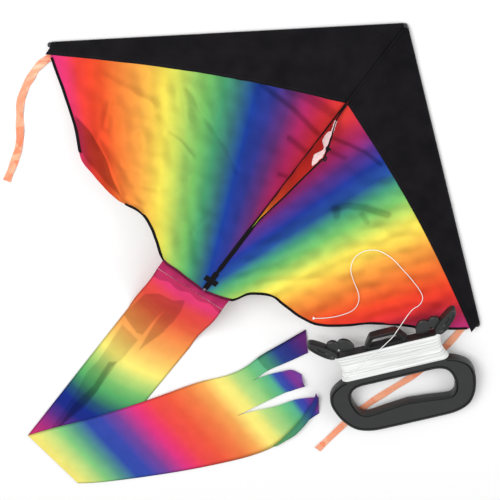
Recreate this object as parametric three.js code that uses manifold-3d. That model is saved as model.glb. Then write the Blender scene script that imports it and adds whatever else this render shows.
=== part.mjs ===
// Single-line delta kite, laid out on the floor on its back with the keel up, with its folded ribbon
// tail, its two wing-tip ribbons and its D-grip line winder. Millimetres, +Z up, +Y towards the nose.
import * as THREE from 'three';
import { mergeVertices } from 'three/addons/utils/BufferGeometryUtils.js';
import Module from 'manifold-3d';

const wasm = await Module();
wasm.setup();

// Driving dimensions of the kite.
const SPINE_LENGTH = 640;
const WING_REACH = 500;
const TIP_Y = 232;
const DIHEDRAL = THREE.MathUtils.degToRad(5);
const GAP = 0.4;

// Rods, sleeves and fittings.
const ROD_RADIUS = 2;
const SPINE_RADIUS = 2.5;
const ROD_CLEARANCE = 0.25;
const SLEEVE_WALL = 1.3;
const CAP_RADIUS = 5;
const CLIP_WALL = 2.1;
const CLIP_LENGTH = 18;
const SLEEVE_CUT_BACK = 6;
const CLIP_AT = 0.577;
const SOCKET_LENGTH = 26;
const SOCKET_WALL = 1.6;
const FERRULE_LENGTH = 34;
const ROD_SET_BACK = 16;
const SPINE_END_Y = 12;

// Cloth: every sheet of the wings lies on the keel side of the rods.
const CLOTH = 0.8;
const CLOTH_LEVEL = CAP_RADIUS + GAP + CLOTH / 2;
const FOLD_GAP = 1.2;
const PANEL_ROOT_Y = SPINE_LENGTH - 172;
const PANEL_TIP_Y = TIP_Y - 16;
const PANEL_BOW = 14;
const BINDING_WIDTH = 5;
const TAB_SPAN = 28;
const TAB_LENGTH = 40;
const TAB_ARM = 11;
const TAB_NOTCH = TAB_LENGTH + 12;

// Keel.
const KEEL_LEAN = THREE.MathUtils.degToRad(4);
const KEEL_HEIGHT = 90;
const KEEL_TOW_Y = SPINE_LENGTH - 259;
const KEEL_FRONT_Y = SPINE_LENGTH - 170;
const KEEL_REAR_Y = KEEL_TOW_Y - 215;
const KEEL_FOOT = 4;
const KEEL_BINDING = 4;
const PATCH_LENGTH = 58;
const PATCH_DEPTH = 30;
const TOW_LOOP_RADIUS = 6;
const TOW_LOOP_CORD = 1.4;

// Tail ribbon and the two wing-tip ribbons.
const TAIL_LEFT_X = -97;
const TAIL_RIGHT_X = 54;
const TAIL_HEM = 9;
const TAIL_SEAM_GAP = 1;
const TAIL_FLOOR_SHIFT = 19;
const TAIL_LANDING = 150;
const TAIL_CREASE_Y = -550 - SPINE_LENGTH;
const TAIL_CREASE_DROP = 42;
const TAIL_THICKNESS = 1.2;
const RIBBON_WIDTH = 15;
const RIBBON_THICKNESS = 0.7;
const FLOOR_GAP = 0.3;

// Winder.
const WINDER_WIDTH = 300;
const WINDER_THICKNESS = 18;
const NECK_WIDTH = 214;
const NECK_THICKNESS = 18;
const NECK_LENGTH = 74;
const HORN_RISE = 44;
const GRIP_DEPTH = 145;
const OPENING_WIDTH = 212;
const OPENING_DEPTH = 84;
const OPENING_START = 92;
const WINDER_CENTRE = new THREE.Vector3(0.7252 * WING_REACH, 108.5 - SPINE_LENGTH, 45);
const WINDER_TURN = THREE.MathUtils.degToRad(52.9);
const LINE_DIAMETER = 1.6;
const LINE_LAYERS = 2;

// Materials.
const paint = (color, roughness = 0.8, metalness = 0) =>
  new THREE.MeshStandardMaterial({ color, roughness, metalness });
const black = paint(0x18171b, 0.85);
const rodGrey = paint(0x202124, 0.35);
const plastic = paint(0x1b1b1d, 0.3);
const rainbow = paint(0x58b060, 0.75);
const keelRed = paint(0xb02c28, 0.75);
const tailCloth = paint(0x9a3b93, 0.75);
const tailLower = paint(0x52a66a, 0.75);
const orange = paint(0xec8a4c, 0.6);
const white = paint(0xeeeeec, 0.8);
const hemPurple = paint(0x34265a, 0.8);

// The kite's own frame: origin at the tail end of the spine, +Y to the nose, +Z to the keel side.
// The nose and both wing tips stand on the floor, so the frame is pitched nose down.
const tipDrop = WING_REACH * Math.sin(DIHEDRAL);
const PITCH = Math.asin(tipDrop / (SPINE_LENGTH - TIP_Y));
const kiteMatrix = new THREE.Matrix4()
  .makeTranslation(0, 0, CAP_RADIUS)
  .multiply(new THREE.Matrix4().makeRotationX(-PITCH))
  .multiply(new THREE.Matrix4().makeTranslation(0, -SPINE_LENGTH, 0));
const sides = { left: -1, right: 1 };
const onWing = (side, x, y, w = 0) =>
  new THREE.Vector3(
    side * (x * Math.cos(DIHEDRAL) + w * Math.sin(DIHEDRAL)),
    y,
    w * Math.cos(DIHEDRAL) - x * Math.sin(DIHEDRAL),
  );
const edgeLength = Math.hypot(WING_REACH, SPINE_LENGTH - TIP_Y);
const onEdge = (side, distance) => {
  const share = distance / edgeLength;
  return onWing(side, WING_REACH * share, SPINE_LENGTH + (TIP_Y - SPINE_LENGTH) * share);
};

// Puts a geometry made in the kite's frame, or in the floor frame, into a named mesh.
const kite = new THREE.Group();
kite.applyMatrix4(kiteMatrix);
const floor = new THREE.Group();
function add(parent, name, geometry, material) {
  const mesh = new THREE.Mesh(geometry, material);
  mesh.name = name;
  parent.add(mesh);
  return mesh;
}

// A round bar or, with a bore, a tube, from one point to another.
function bar(from, to, radius, bore = 0, corners = 8) {
  const section = new THREE.Shape().absarc(0, 0, radius, 0, Math.PI * 2);
  if (bore > 0) section.holes.push(new THREE.Path().absarc(0, 0, bore, 0, Math.PI * 2));
  const run = new THREE.Vector3().subVectors(to, from);
  const geometry = new THREE.ExtrudeGeometry(section, {
    depth: run.length(),
    bevelEnabled: false,
    curveSegments: corners / 2,
  });
  const turn = new THREE.Quaternion().setFromUnitVectors(new THREE.Vector3(0, 0, 1), run.normalize());
  geometry.applyQuaternion(turn);
  geometry.translate(from.x, from.y, from.z);
  return geometry;
}

// A flat plate from an outline, with its middle at the given level.
function plate(outline, thickness, level, holes = []) {
  const shape = new THREE.Shape(outline);
  for (const hole of holes) shape.holes.push(new THREE.Path(hole));
  const geometry = new THREE.ExtrudeGeometry(shape, { depth: thickness, bevelEnabled: false });
  geometry.translate(0, 0, level - thickness / 2);
  return geometry;
}

// Joins closed geometries into one solid, less what is cut from it.
function solid(geometry) {
  const bare = geometry.clone();
  for (const extra of ['normal', 'uv']) bare.deleteAttribute(extra);
  const merged = mergeVertices(bare, 1e-4);
  const mesh = new wasm.Mesh({
    numProp: 3,
    vertProperties: new Float32Array(merged.attributes.position.array),
    triVerts: new Uint32Array(merged.index.array),
  });
  return new wasm.Manifold(mesh);
}
function joined(pieces, cuts = []) {
  let body = solid(pieces[0]);
  for (const piece of pieces.slice(1)) body = body.add(solid(piece));
  for (const cut of cuts) body = body.subtract(solid(cut));
  const mesh = body.getMesh();
  const geometry = new THREE.BufferGeometry();
  geometry.setAttribute('position', new THREE.BufferAttribute(mesh.vertProperties, 3));
  geometry.setIndex(new THREE.BufferAttribute(mesh.triVerts, 1));
  return geometry;
}

const smooth = (points, count) => new THREE.SplineCurve(points).getPoints(count);
const flat = (pairs) => pairs.map(([x, y]) => new THREE.Vector2(x, y));

// Lays a wing outline, drawn as distance out from the spine and height up it, on one wing.
function layOnWing(geometry, side) {
  const turn = new THREE.Matrix4().makeRotationY(side * DIHEDRAL);
  return geometry.applyMatrix4(turn);
}
const sided = (points, side) => points.map((p) => new THREE.Vector2(side * p.x, p.y));

// Inner edge of the black leading-edge panel, from the spine out to the tip.
function panelEdge(x) {
  const share = x / WING_REACH;
  const straight = PANEL_ROOT_Y + (PANEL_TIP_Y - PANEL_ROOT_Y) * share;
  return straight + PANEL_BOW * Math.sin(Math.PI * share);
}
const leadingEdgeY = (x) => SPINE_LENGTH + ((TIP_Y - SPINE_LENGTH) * x) / WING_REACH;

// The trailing edge is scalloped: a full lobe at the tail, a step up and a long sweep to the tip.
// It is drawn for a reach of 500 and a tip height of 232, and follows both when they change.
const DRAWN_REACH = 500;
const DRAWN_TIP_Y = 232;
const trailingEdge = {
  left: [[0, 1], [60, 5], [99, 8], [133, 33], [152, 46], [183, 60], [226, 57], [264, 62], [300, 72],
    [336, 84], [375, 124], [423, 165], [468, 200], [488, 216]],
  right: [[0, 1], [53, 12], [63, 18], [80, 44], [114, 62], [143, 60], [183, 55], [218, 56], [250, 68],
    [283, 90], [321, 121], [380, 152], [411, 165], [449, 190], [488, 216]],
};
function trailingPoints(hand, inset) {
  const drawn = trailingEdge[hand].map(([x, y]) => [(x * WING_REACH) / DRAWN_REACH, (y * TIP_Y) / DRAWN_TIP_Y]);
  const curve = smooth(flat(drawn), 44);
  return curve.map((p) => new THREE.Vector2(p.x, p.y + inset));
}
const insideTab = (p) => p.x < TAB_SPAN / 2 + 2;

function wingCloth(hand) {
  const side = sides[hand];
  const tipX = WING_REACH - 12;
  const steps = 10;
  const panelInner = [];
  for (let i = 0; i <= steps; i += 1) {
    const x = FOLD_GAP + ((tipX - FOLD_GAP) * i) / steps;
    panelInner.push(new THREE.Vector2(x, panelEdge(x)));
  }
  const panelOuter = [
    new THREE.Vector2(tipX, leadingEdgeY(tipX) + 3),
    new THREE.Vector2(44, leadingEdgeY(44) + 4),
    new THREE.Vector2(FOLD_GAP, leadingEdgeY(44) + 4),
  ];
  const level = CLOTH_LEVEL;
  const panel = plate(sided([...panelInner, ...panelOuter], side), CLOTH, level);
  add(kite, `${hand}_leading_panel`, layOnWing(panel, side), black);

  const edge = trailingPoints(hand, BINDING_WIDTH + GAP).filter((p) => !insideTab(p));
  const notch = [
    new THREE.Vector2(TAB_SPAN / 2 + 2, edge[0].y),
    new THREE.Vector2(TAB_SPAN / 2 + 2, TAB_NOTCH),
    new THREE.Vector2(FOLD_GAP, TAB_NOTCH),
  ];
  const sailTop = panelInner.map((p) => new THREE.Vector2(p.x, p.y - GAP));
  const last = edge.filter((p) => p.y < panelEdge(p.x) - 4);
  const outline = [...notch.reverse(), ...last, ...sailTop.reverse().filter((p) => p.x <= tipX - 6)];
  const sail = plate(sided(outline, side), CLOTH, level);
  add(kite, `${hand}_sail`, layOnWing(sail, side), rainbow);

  const outer = trailingPoints(hand, 0).filter((p) => !insideTab(p));
  const inner = trailingPoints(hand, BINDING_WIDTH).filter((p) => !insideTab(p));
  const kept = [...outer.keys()].filter((i) => inner[i].y < panelEdge(inner[i].x) - 4);
  const band = [...kept.map((i) => outer[i]), ...kept.map((i) => inner[i]).reverse()];
  const binding = plate(sided(band, side), CLOTH, level);
  add(kite, `${hand}_trailing_binding`, layOnWing(binding, side), black);

  const patch = [[FOLD_GAP, leadingEdgeY(44) + 4 + GAP], [43, leadingEdgeY(44) + 4 + GAP],
    [9, SPINE_LENGTH + 1], [FOLD_GAP, SPINE_LENGTH + 1]];
  const nosePatch = plate(sided(flat(patch), side), CLOTH, level);
  add(kite, `${hand}_nose_patch`, layOnWing(nosePatch, side), black);
}

// Leading-edge rod, its two sleeves, its clip and cap, and half of the spreader.
function wingFrame(hand) {
  const side = sides[hand];
  const clipDistance = CLIP_AT * edgeLength;
  const sleeve = ROD_RADIUS + ROD_CLEARANCE + SLEEVE_WALL;
  const bore = ROD_RADIUS + ROD_CLEARANCE;
  const rodEnd = edgeLength - CAP_RADIUS - GAP;
  const clearOfClip = CLIP_LENGTH / 2 + GAP;
  const rod = bar(onEdge(side, ROD_SET_BACK), onEdge(side, rodEnd), ROD_RADIUS);
  add(kite, `${hand}_leading_edge_rod`, rod, rodGrey);
  const cutBack = clipDistance - clearOfClip - SLEEVE_CUT_BACK;
  const upper = bar(onEdge(side, ROD_SET_BACK + 4), onEdge(side, cutBack), sleeve, bore);
  add(kite, `${hand}_upper_sleeve`, upper, black);
  const lower = bar(onEdge(side, clipDistance + clearOfClip), onEdge(side, rodEnd), sleeve, bore);
  add(kite, `${hand}_lower_sleeve`, lower, black);
  const cap = new THREE.SphereGeometry(CAP_RADIUS, 16, 10);
  const tip = onEdge(side, edgeLength);
  cap.translate(tip.x, tip.y, tip.z);
  add(kite, `${hand}_tip_cap`, cap, plastic);

  const clipCentre = onEdge(side, clipDistance);
  const ringFrom = onEdge(side, clipDistance - CLIP_LENGTH / 2);
  const ringTo = onEdge(side, clipDistance + CLIP_LENGTH / 2);
  const socketMouth = clipCentre.clone().add(new THREE.Vector3(-side * SOCKET_LENGTH, 0, 0));
  const rodStart = clipCentre.clone().add(new THREE.Vector3(-side * (bore + SOCKET_WALL), 0, 0));
  const ring = bar(ringFrom, ringTo, bore + CLIP_WALL);
  const socket = bar(clipCentre, socketMouth, bore + SOCKET_WALL);
  const reach = new THREE.Vector3().subVectors(ringTo, ringFrom).normalize();
  const ringBore = bar(ringFrom.clone().addScaledVector(reach, -2), ringTo.clone().addScaledVector(reach, 2), bore);
  const beyondMouth = socketMouth.clone().add(new THREE.Vector3(-side * 2, 0, 0));
  const socketBore = bar(rodStart, beyondMouth, bore);
  add(kite, `${hand}_spreader_clip`, joined([ring, socket], [ringBore, socketBore]), plastic);

  const spreaderEnd = clipCentre.clone();
  spreaderEnd.x = side * GAP;
  // The spreader meets the leading-edge rod at a slant, so it stops short of that rod's side.
  const slant = ROD_RADIUS * (edgeLength + WING_REACH) / (SPINE_LENGTH - TIP_Y);
  const spreaderStart = clipCentre.clone().add(new THREE.Vector3(-side * (slant + GAP), 0, 0));
  add(kite, `${hand}_spreader_rod`, bar(spreaderStart, spreaderEnd, ROD_RADIUS), rodGrey);
  if (hand === 'left') {
    const ferruleMouth = spreaderEnd.clone().add(new THREE.Vector3(side * FERRULE_LENGTH, 0, 0));
    const ferrule = bar(ferruleMouth, spreaderEnd, bore + SLEEVE_WALL, bore);
    add(kite, 'spreader_ferrule', ferrule, plastic);
  }
}

// Spine rod in its sleeve, the two caps, and the cross-shaped tab that closes the sleeve.
function spine() {
  const at = (y) => new THREE.Vector3(0, y, 0);
  const bore = SPINE_RADIUS + ROD_CLEARANCE;
  const noseEnd = SPINE_LENGTH - CAP_RADIUS - GAP;
  const tailEnd = SPINE_END_Y + CAP_RADIUS + GAP;
  add(kite, 'spine_rod', bar(at(tailEnd), at(noseEnd), SPINE_RADIUS), rodGrey);
  const sleeveRadius = bore + SLEEVE_WALL;
  add(kite, 'spine_sleeve', bar(at(tailEnd + 6), at(noseEnd - 8), sleeveRadius, bore), black);
  for (const [name, y] of [['nose_cap', SPINE_LENGTH], ['spine_tail_cap', SPINE_END_Y]]) {
    const cap = new THREE.SphereGeometry(CAP_RADIUS - 0.2 * (y === SPINE_END_Y), 16, 10);
    cap.translate(0, y, 0);
    add(kite, name, cap, plastic);
  }
  const half = TAB_SPAN / 2;
  const arm = TAB_ARM / 2;
  const low = SPINE_END_Y - 4;
  const middle = low + TAB_LENGTH / 2;
  const high = low + TAB_LENGTH;
  const cross = [[-arm, low], [arm, low], [arm, middle - arm], [half, middle - arm], [half, middle + arm],
    [arm, middle + arm], [arm, high], [-arm, high], [-arm, middle + arm], [-half, middle + arm],
    [-half, middle - arm], [-arm, middle - arm]];
  add(kite, 'spine_end_tab', plate(flat(cross), CLOTH, CLOTH_LEVEL), black);
}

// Keel: a fin that stands on the spine seam, bound round its free edge, doubled at the tow point.
function keelPlace(geometry) {
  geometry.applyMatrix4(new THREE.Matrix4().makeBasis(
    new THREE.Vector3(Math.sin(KEEL_LEAN), 0, Math.cos(KEEL_LEAN)),
    new THREE.Vector3(0, 1, 0),
    new THREE.Vector3(-Math.cos(KEEL_LEAN), 0, Math.sin(KEEL_LEAN)),
  ));
  geometry.translate(0, 0, CLOTH_LEVEL);
  return geometry;
}
function keelOutline(inset) {
  const top = KEEL_HEIGHT - inset * 1.6;
  const front = smooth(flat([[KEEL_FOOT, KEEL_FRONT_Y - inset * 2.5], [KEEL_HEIGHT * 0.15, KEEL_FRONT_Y - 40 - inset],
    [KEEL_HEIGHT * 0.6, KEEL_FRONT_Y - 62 - inset], [top, KEEL_TOW_Y]]), 10);
  const rear = smooth(flat([[top, KEEL_TOW_Y], [KEEL_HEIGHT * 0.76 - inset, KEEL_TOW_Y - 51],
    [KEEL_HEIGHT * 0.5 - inset, KEEL_TOW_Y - 116], [KEEL_HEIGHT * 0.24 - inset * 0.6, KEEL_REAR_Y + 47], [KEEL_FOOT, KEEL_REAR_Y + inset * 2.5]]), 14);
  return [...front, ...rear.slice(1)];
}
function keel() {
  const inner = keelOutline(KEEL_BINDING + GAP);
  add(kite, 'keel_panel', keelPlace(plate(inner, CLOTH, 0)), keelRed);
  const band = [...keelOutline(0), ...keelOutline(KEEL_BINDING).reverse()];
  add(kite, 'keel_binding', keelPlace(plate(band, CLOTH, 0)), black);
  const deep = KEEL_HEIGHT - KEEL_BINDING * 2 - PATCH_DEPTH;
  const patch = flat([[KEEL_HEIGHT - KEEL_BINDING * 2.4, KEEL_TOW_Y], [deep, KEEL_TOW_Y - PATCH_LENGTH / 2 + 6],
    [deep, KEEL_TOW_Y + 8], [deep + PATCH_DEPTH * 0.5, KEEL_TOW_Y + 10]]);
  const offset = CLOTH + GAP;
  add(kite, 'left_keel_patch', keelPlace(plate(patch, CLOTH / 2, offset)), white);
  add(kite, 'right_keel_patch', keelPlace(plate(patch, CLOTH / 2, -offset)), white);
  const loop = new THREE.TorusGeometry(TOW_LOOP_RADIUS - TOW_LOOP_CORD, TOW_LOOP_CORD, 8, 16);
  loop.translate(KEEL_HEIGHT + TOW_LOOP_RADIUS + GAP, KEEL_TOW_Y, 0);
  add(kite, 'tow_loop', keelPlace(loop), black);
}

// A thin strip through pairs of edge points, as a box whose two long edges follow them.
function strip(left, right, thickness) {
  const steps = left.length - 1;
  const geometry = new THREE.BoxGeometry(1, 1, 1, 1, steps, 1);
  const place = geometry.attributes.position;
  for (let i = 0; i < place.count; i += 1) {
    const row = Math.round((place.getY(i) + 0.5) * steps);
    const point = left[row].clone().lerp(right[row], place.getX(i) + 0.5);
    point.z += place.getZ(i) * thickness;
    place.setXYZ(i, point.x, point.y, point.z);
  }
  return geometry;
}

// Tail: a wide ribbon sewn across the trailing edge. It drops to the floor, runs out behind,
// and is folded over on a crease so that its fringed end comes back beside the kite.
const toWorld = (x, y, z) => new THREE.Vector3(x, y, z).applyMatrix4(kiteMatrix);
const hemLevel = { left: -4, right: 0 };
function tail() {
  const hemNear = { left: toWorld(TAIL_LEFT_X, -3, hemLevel.left), right: toWorld(TAIL_RIGHT_X, -3, hemLevel.right) };
  const hemFar = {
    left: toWorld(TAIL_LEFT_X, -3 - TAIL_HEM, hemLevel.left),
    right: toWorld(TAIL_RIGHT_X, -3 - TAIL_HEM, hemLevel.right),
  };
  add(floor, 'tail_hem', strip([hemNear.left, hemFar.left].reverse(), [hemNear.right, hemFar.right].reverse(),
    TAIL_THICKNESS), hemPurple);

  const level = FLOOR_GAP + TAIL_THICKNESS / 2;
  const edges = { left: [], right: [] };
  const creaseY = { left: TAIL_CREASE_Y, right: TAIL_CREASE_Y - TAIL_CREASE_DROP };
  const steps = 12;
  for (const hand of ['left', 'right']) {
    const root = hemFar[hand].clone();
    root.y -= TAIL_SEAM_GAP;
    const landing = new THREE.Vector3(root.x + TAIL_FLOOR_SHIFT, root.y - TAIL_LANDING, level);
    for (let i = 0; i <= steps; i += 1) {
      const share = i / steps;
      const fall = share * share * (3 - 2 * share);
      const point = root.clone().lerp(landing, share);
      point.z = root.z + (level - root.z) * fall;
      edges[hand].push(point);
    }
    edges[hand].push(new THREE.Vector3(landing.x, creaseY[hand] + GAP, level));
  }
  edges.left.reverse();
  edges.right.reverse();
  add(floor, 'tail_upper_length', strip(edges.left, edges.right, TAIL_THICKNESS), tailCloth);

  const leftX = hemFar.left.x + TAIL_FLOOR_SHIFT;
  const rightX = hemFar.right.x + TAIL_FLOOR_SHIFT;
  // The lower length as it lies, as distances across and behind the kite's foot.
  const behindFoot = (pairs) => flat(pairs.map(([x, y]) => [x, y - SPINE_LENGTH]));
  const upperEdge = behindFoot([[-50, -508], [10, -424], [75, -321], [130, -227], [172, -170.5], [190, -131.5],
    [199, -89.5], [216, -40.5], [234, 14]]);
  const fringe = behindFoot([[270, -27.5], [257, -55.5], [244, -81.5], [231, -109.5], [219, -151.5], [237, -118.5],
    [254, -95.5], [268, -80.5], [290, -77.5], [311, -93.5], [298, -121.5], [288, -136.5], [263, -193.5],
    [244, -241.5], [269, -204.5], [294, -172.5], [318, -133.5], [350, -100.5], [375, -133.5], [368, -163.5],
    [364, -205.5], [349, -261.5], [324, -309.5], [285, -363.5]]);
  const upperStart = new THREE.Vector2(leftX, creaseY.left);
  const lowerEnd = new THREE.Vector2(rightX, creaseY.right);
  const over = TAIL_THICKNESS + GAP;
  const lower = plate([upperStart, ...upperEdge, ...fringe, lowerEnd], TAIL_THICKNESS, level + over);
  add(floor, 'tail_lower_length', lower, tailLower);
}

// Crinkled ribbons that trail from the wing tips along the floor.
function ribbonAlong(name, points) {
  const curve = new THREE.CatmullRomCurve3(points.map(([x, y]) => new THREE.Vector3(x, y, 0)));
  const steps = 16;
  const left = [];
  const right = [];
  const level = FLOOR_GAP + RIBBON_THICKNESS / 2;
  for (let i = 0; i <= steps; i += 1) {
    const centre = curve.getPointAt(i / steps);
    const along = curve.getTangentAt(i / steps);
    const across = new THREE.Vector3(-along.y, along.x, 0).multiplyScalar(RIBBON_WIDTH / 2);
    left.push(centre.clone().add(across).setZ(level));
    right.push(centre.clone().sub(across).setZ(level));
  }
  add(floor, name, strip(left, right, RIBBON_THICKNESS), orange);
}
// Each starts beside its wing tip: steps across and behind the tip.
function ribbons() {
  const routes = {
    left: [[14.1, -21.7], [4.1, -63.7], [14.1, -133.7], [58.1, -213.7], [78.1, -293.7]],
    right: [[-17.1, -21.7], [-16.1, -93.7], [-24.1, -173.7], [-58.1, -303.7], [-70.1, -443.7]],
  };
  for (const hand of ['left', 'right']) {
    const tip = onEdge(sides[hand], edgeLength).applyMatrix4(kiteMatrix);
    ribbonAlong(`${hand}_tip_ribbon`, routes[hand].map(([x, y]) => [tip.x + x, tip.y + y]));
  }
}

// Winder: one moulded piece with a neck for the line, horns above it and a D grip below.
const winder = new THREE.Group();
const winderTilt = Math.asin((WINDER_CENTRE.z - WINDER_THICKNESS / 2 - 2) / (NECK_LENGTH + GRIP_DEPTH));
winder.position.copy(WINDER_CENTRE);
winder.rotation.order = 'ZYX';
winder.rotation.z = WINDER_TURN;
winder.rotation.x = winderTilt;
function mirrored(points) {
  return [...points, ...points.map((p) => new THREE.Vector2(-p.x, p.y)).reverse()];
}
function winderBody() {
  const half = WINDER_WIDTH / 2;
  const neck = NECK_WIDTH / 2;
  const gripEnd = -(NECK_LENGTH + GRIP_DEPTH);
  const right = smooth(flat([[neck, -NECK_LENGTH], [half - 20, -NECK_LENGTH - 10], [half, -NECK_LENGTH - 38],
    [half - 9, -NECK_LENGTH - 92], [half - 34, gripEnd + 10], [half - 62, gripEnd]]), 20);
  const grip = plate(mirrored(right), WINDER_THICKNESS, 0);
  const hole = smooth(flat([[OPENING_WIDTH / 2 - 24, -OPENING_START], [OPENING_WIDTH / 2 - 8, -OPENING_START - 12],
    [OPENING_WIDTH / 2, -OPENING_START - OPENING_DEPTH * 0.5],
    [OPENING_WIDTH / 2 - 8, -OPENING_START - OPENING_DEPTH + 12],
    [OPENING_WIDTH / 2 - 24, -OPENING_START - OPENING_DEPTH]]), 14);
  const opening = plate(mirrored(hole), WINDER_THICKNESS * 2, 0);
  const neckPlate = plate(flat([[-neck, -NECK_LENGTH - 6], [neck, -NECK_LENGTH - 6], [neck, 3], [-neck, 3]]),
    NECK_THICKNESS, 0);
  const horn = flat([[neck - 42, 1], [neck - 12, 1], [neck + 10, -3], [half - 6, 30], [half - 10, HORN_RISE - 4],
    [half - 18, 30], [neck, 16], [neck - 14, 16], [neck - 20, HORN_RISE], [neck - 27, HORN_RISE], [neck - 34, 14]]);
  const loop = flat([[-44, 1], [-24, 27], [24, 27], [44, 1]]);
  const loopHole = flat([[-26, 5], [-17, 19], [17, 19], [26, 5]]);
  const top = NECK_THICKNESS;
  const pieces = [grip, neckPlate, plate(horn, top, 0), plate(horn.map((p) => new THREE.Vector2(-p.x, p.y)), top, 0),
    plate(loop, top, 0)];
  add(winder, 'winder_body', joined(pieces, [opening, plate(loopHole, top * 2, 0)]), plastic);
}
// The wound line fills the neck in close layers, as one ring of the winding's outer shape.
const windingHalf = NECK_THICKNESS / 2 + GAP + LINE_LAYERS * LINE_DIAMETER;
function woundLine() {
  const outerX = NECK_WIDTH / 2 + GAP + LINE_LAYERS * LINE_DIAMETER;
  const box = (x, z) => flat([[-x, -z + 4], [-x + 4, -z], [x - 4, -z], [x, -z + 4], [x, z - 4], [x - 4, z],
    [-x + 4, z], [-x, z - 4]]);
  const shape = new THREE.Shape(box(outerX, windingHalf));
  const neckX = NECK_WIDTH / 2 + GAP;
  const neckZ = NECK_THICKNESS / 2 + GAP;
  shape.holes.push(new THREE.Path(flat([[-neckX, -neckZ], [neckX, -neckZ], [neckX, neckZ], [-neckX, neckZ]])));
  const ring = new THREE.ExtrudeGeometry(shape, { depth: NECK_LENGTH - 8, bevelEnabled: false });
  ring.rotateX(Math.PI / 2);
  ring.translate(0, -4, 0);
  add(winder, 'wound_line', ring, white);
}
// The free end leaves the winding, crosses its face, and lies in a loop on the right wing.
function freeLine() {
  winder.updateMatrix();
  const radius = LINE_DIAMETER / 2;
  const onWinding = windingHalf + GAP + radius;
  const overWinder = [[-100, -56], [-70, -38], [-40, -19], [-13.5, -3]].map(([x, y]) =>
    new THREE.Vector3(x, y, onWinding).applyMatrix4(winder.matrix));
  const dropping = [[6, 9, 11.8], [20, 19, 10.8], [31, 30, 9.4]].map(([x, y, z]) =>
    new THREE.Vector3(x, y, z).applyMatrix4(winder.matrix));
  const onSail = CLOTH_LEVEL + CLOTH / 2 + 2 * GAP + radius;
  const lying = [[365.5, 186], [371, 206], [367, 222], [350, 233], [322, 243], [293, 251], [264, 258], [236, 258], [219, 251],
    [207, 238], [202, 217], [211, 195], [231, 178], [253, 163], [266, 147], [268, 126], [253, 102],
    [232, 82], [214, 70]].map(([x, y]) => onWing(1, x, y, onSail).applyMatrix4(kiteMatrix));
  const curve = new THREE.CatmullRomCurve3([...overWinder, ...dropping, ...lying]);
  const section = new THREE.Shape().absarc(0, 0, radius, 0, Math.PI * 2);
  const line = new THREE.ExtrudeGeometry(section, {
    extrudePath: curve,
    steps: 80,
    bevelEnabled: false,
    curveSegments: 4,
  });
  add(floor, 'free_line', line, white);
}

wingCloth('left');
wingCloth('right');
wingFrame('left');
wingFrame('right');
spine();
keel();
tail();
ribbons();
winderBody();
woundLine();
freeLine();

// The object's origin is under the middle of its box, without the free line.
const layout = new THREE.Group();
layout.add(kite, floor, winder);
layout.updateMatrixWorld(true);
const box = new THREE.Box3();
layout.traverse((item) => {
  if (item.isMesh && item.name !== 'free_line' && item.name !== 'wound_line') box.expandByObject(item, true);
});
layout.position.set(-(box.min.x + box.max.x) / 2, -(box.min.y + box.max.y) / 2, -box.min.z);

export default layout;
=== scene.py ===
import math

import bpy
import numpy as np
from mathutils import Matrix, Vector


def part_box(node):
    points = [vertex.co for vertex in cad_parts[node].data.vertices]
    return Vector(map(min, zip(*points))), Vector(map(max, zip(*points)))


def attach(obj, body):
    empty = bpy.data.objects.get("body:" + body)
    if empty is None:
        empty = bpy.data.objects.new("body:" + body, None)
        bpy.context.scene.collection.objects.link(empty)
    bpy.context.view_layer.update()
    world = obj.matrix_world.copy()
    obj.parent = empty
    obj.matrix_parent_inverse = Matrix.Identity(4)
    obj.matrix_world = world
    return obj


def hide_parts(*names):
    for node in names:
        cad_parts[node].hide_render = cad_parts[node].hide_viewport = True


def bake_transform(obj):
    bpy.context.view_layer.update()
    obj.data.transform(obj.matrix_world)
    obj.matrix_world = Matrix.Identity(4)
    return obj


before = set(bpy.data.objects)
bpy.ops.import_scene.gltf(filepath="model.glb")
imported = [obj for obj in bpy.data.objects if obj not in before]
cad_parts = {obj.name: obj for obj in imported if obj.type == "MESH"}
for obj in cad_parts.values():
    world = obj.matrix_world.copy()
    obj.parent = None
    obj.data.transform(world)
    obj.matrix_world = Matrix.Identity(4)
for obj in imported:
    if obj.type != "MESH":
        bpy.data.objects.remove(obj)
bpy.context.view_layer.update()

# Studio.
# A pale seamless floor under an even bright surround, with one broad soft lamp over the left wing and
# a smaller one behind the nose. The camera looks down on the kite from beyond its nose.
scene = bpy.context.scene
scene.view_settings.view_transform = "Standard"
SURROUND = 0.66
EYE = Vector((-0.72613, 1.36268, 2.64845))
LOOK_AT = Vector((-0.01398, 0.08341, 0.03))
CAMERA_ROLL = math.radians(186.72)
LENS_MM = 112.16


def new_material(name):
    """A material with nodes, and its shader."""
    material = bpy.data.materials.new(name)
    material.use_nodes = True
    return material, material.node_tree.nodes["Principled BSDF"]


def dial(node, **values):
    """Sets sockets of a node by name, with _ for each space in the name."""
    for name, value in values.items():
        node.inputs[name.replace("_", " ")].default_value = value


def studio_floor(half, level):
    """A flat square of floor with its corners at plus and minus half, at one level."""
    mesh = bpy.data.meshes.new("floor")
    corners = [(-half, -half, level), (half, -half, level), (half, half, level), (-half, half, level)]
    mesh.from_pydata(corners, [], [(0, 1, 2, 3)])
    paper, shader = new_material("studio_paper")
    dial(shader, Base_Color=(0.93, 0.93, 0.93, 1), Roughness=0.9, Specular_IOR_Level=0.1)
    mesh.materials.append(paper)
    floor = bpy.data.objects.new("floor", mesh)
    scene.collection.objects.link(floor)


def soft_lamp(name, place, aim, side, watts):
    """A square area lamp at a place, turned to face a point."""
    lamp = bpy.data.lights.new(name, "AREA")
    lamp.size = side
    lamp.energy = watts
    stand = bpy.data.objects.new(name, lamp)
    stand.location = place
    stand.rotation_euler = (Vector(aim) - Vector(place)).to_track_quat("-Z", "Y").to_euler()
    scene.collection.objects.link(stand)


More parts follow.
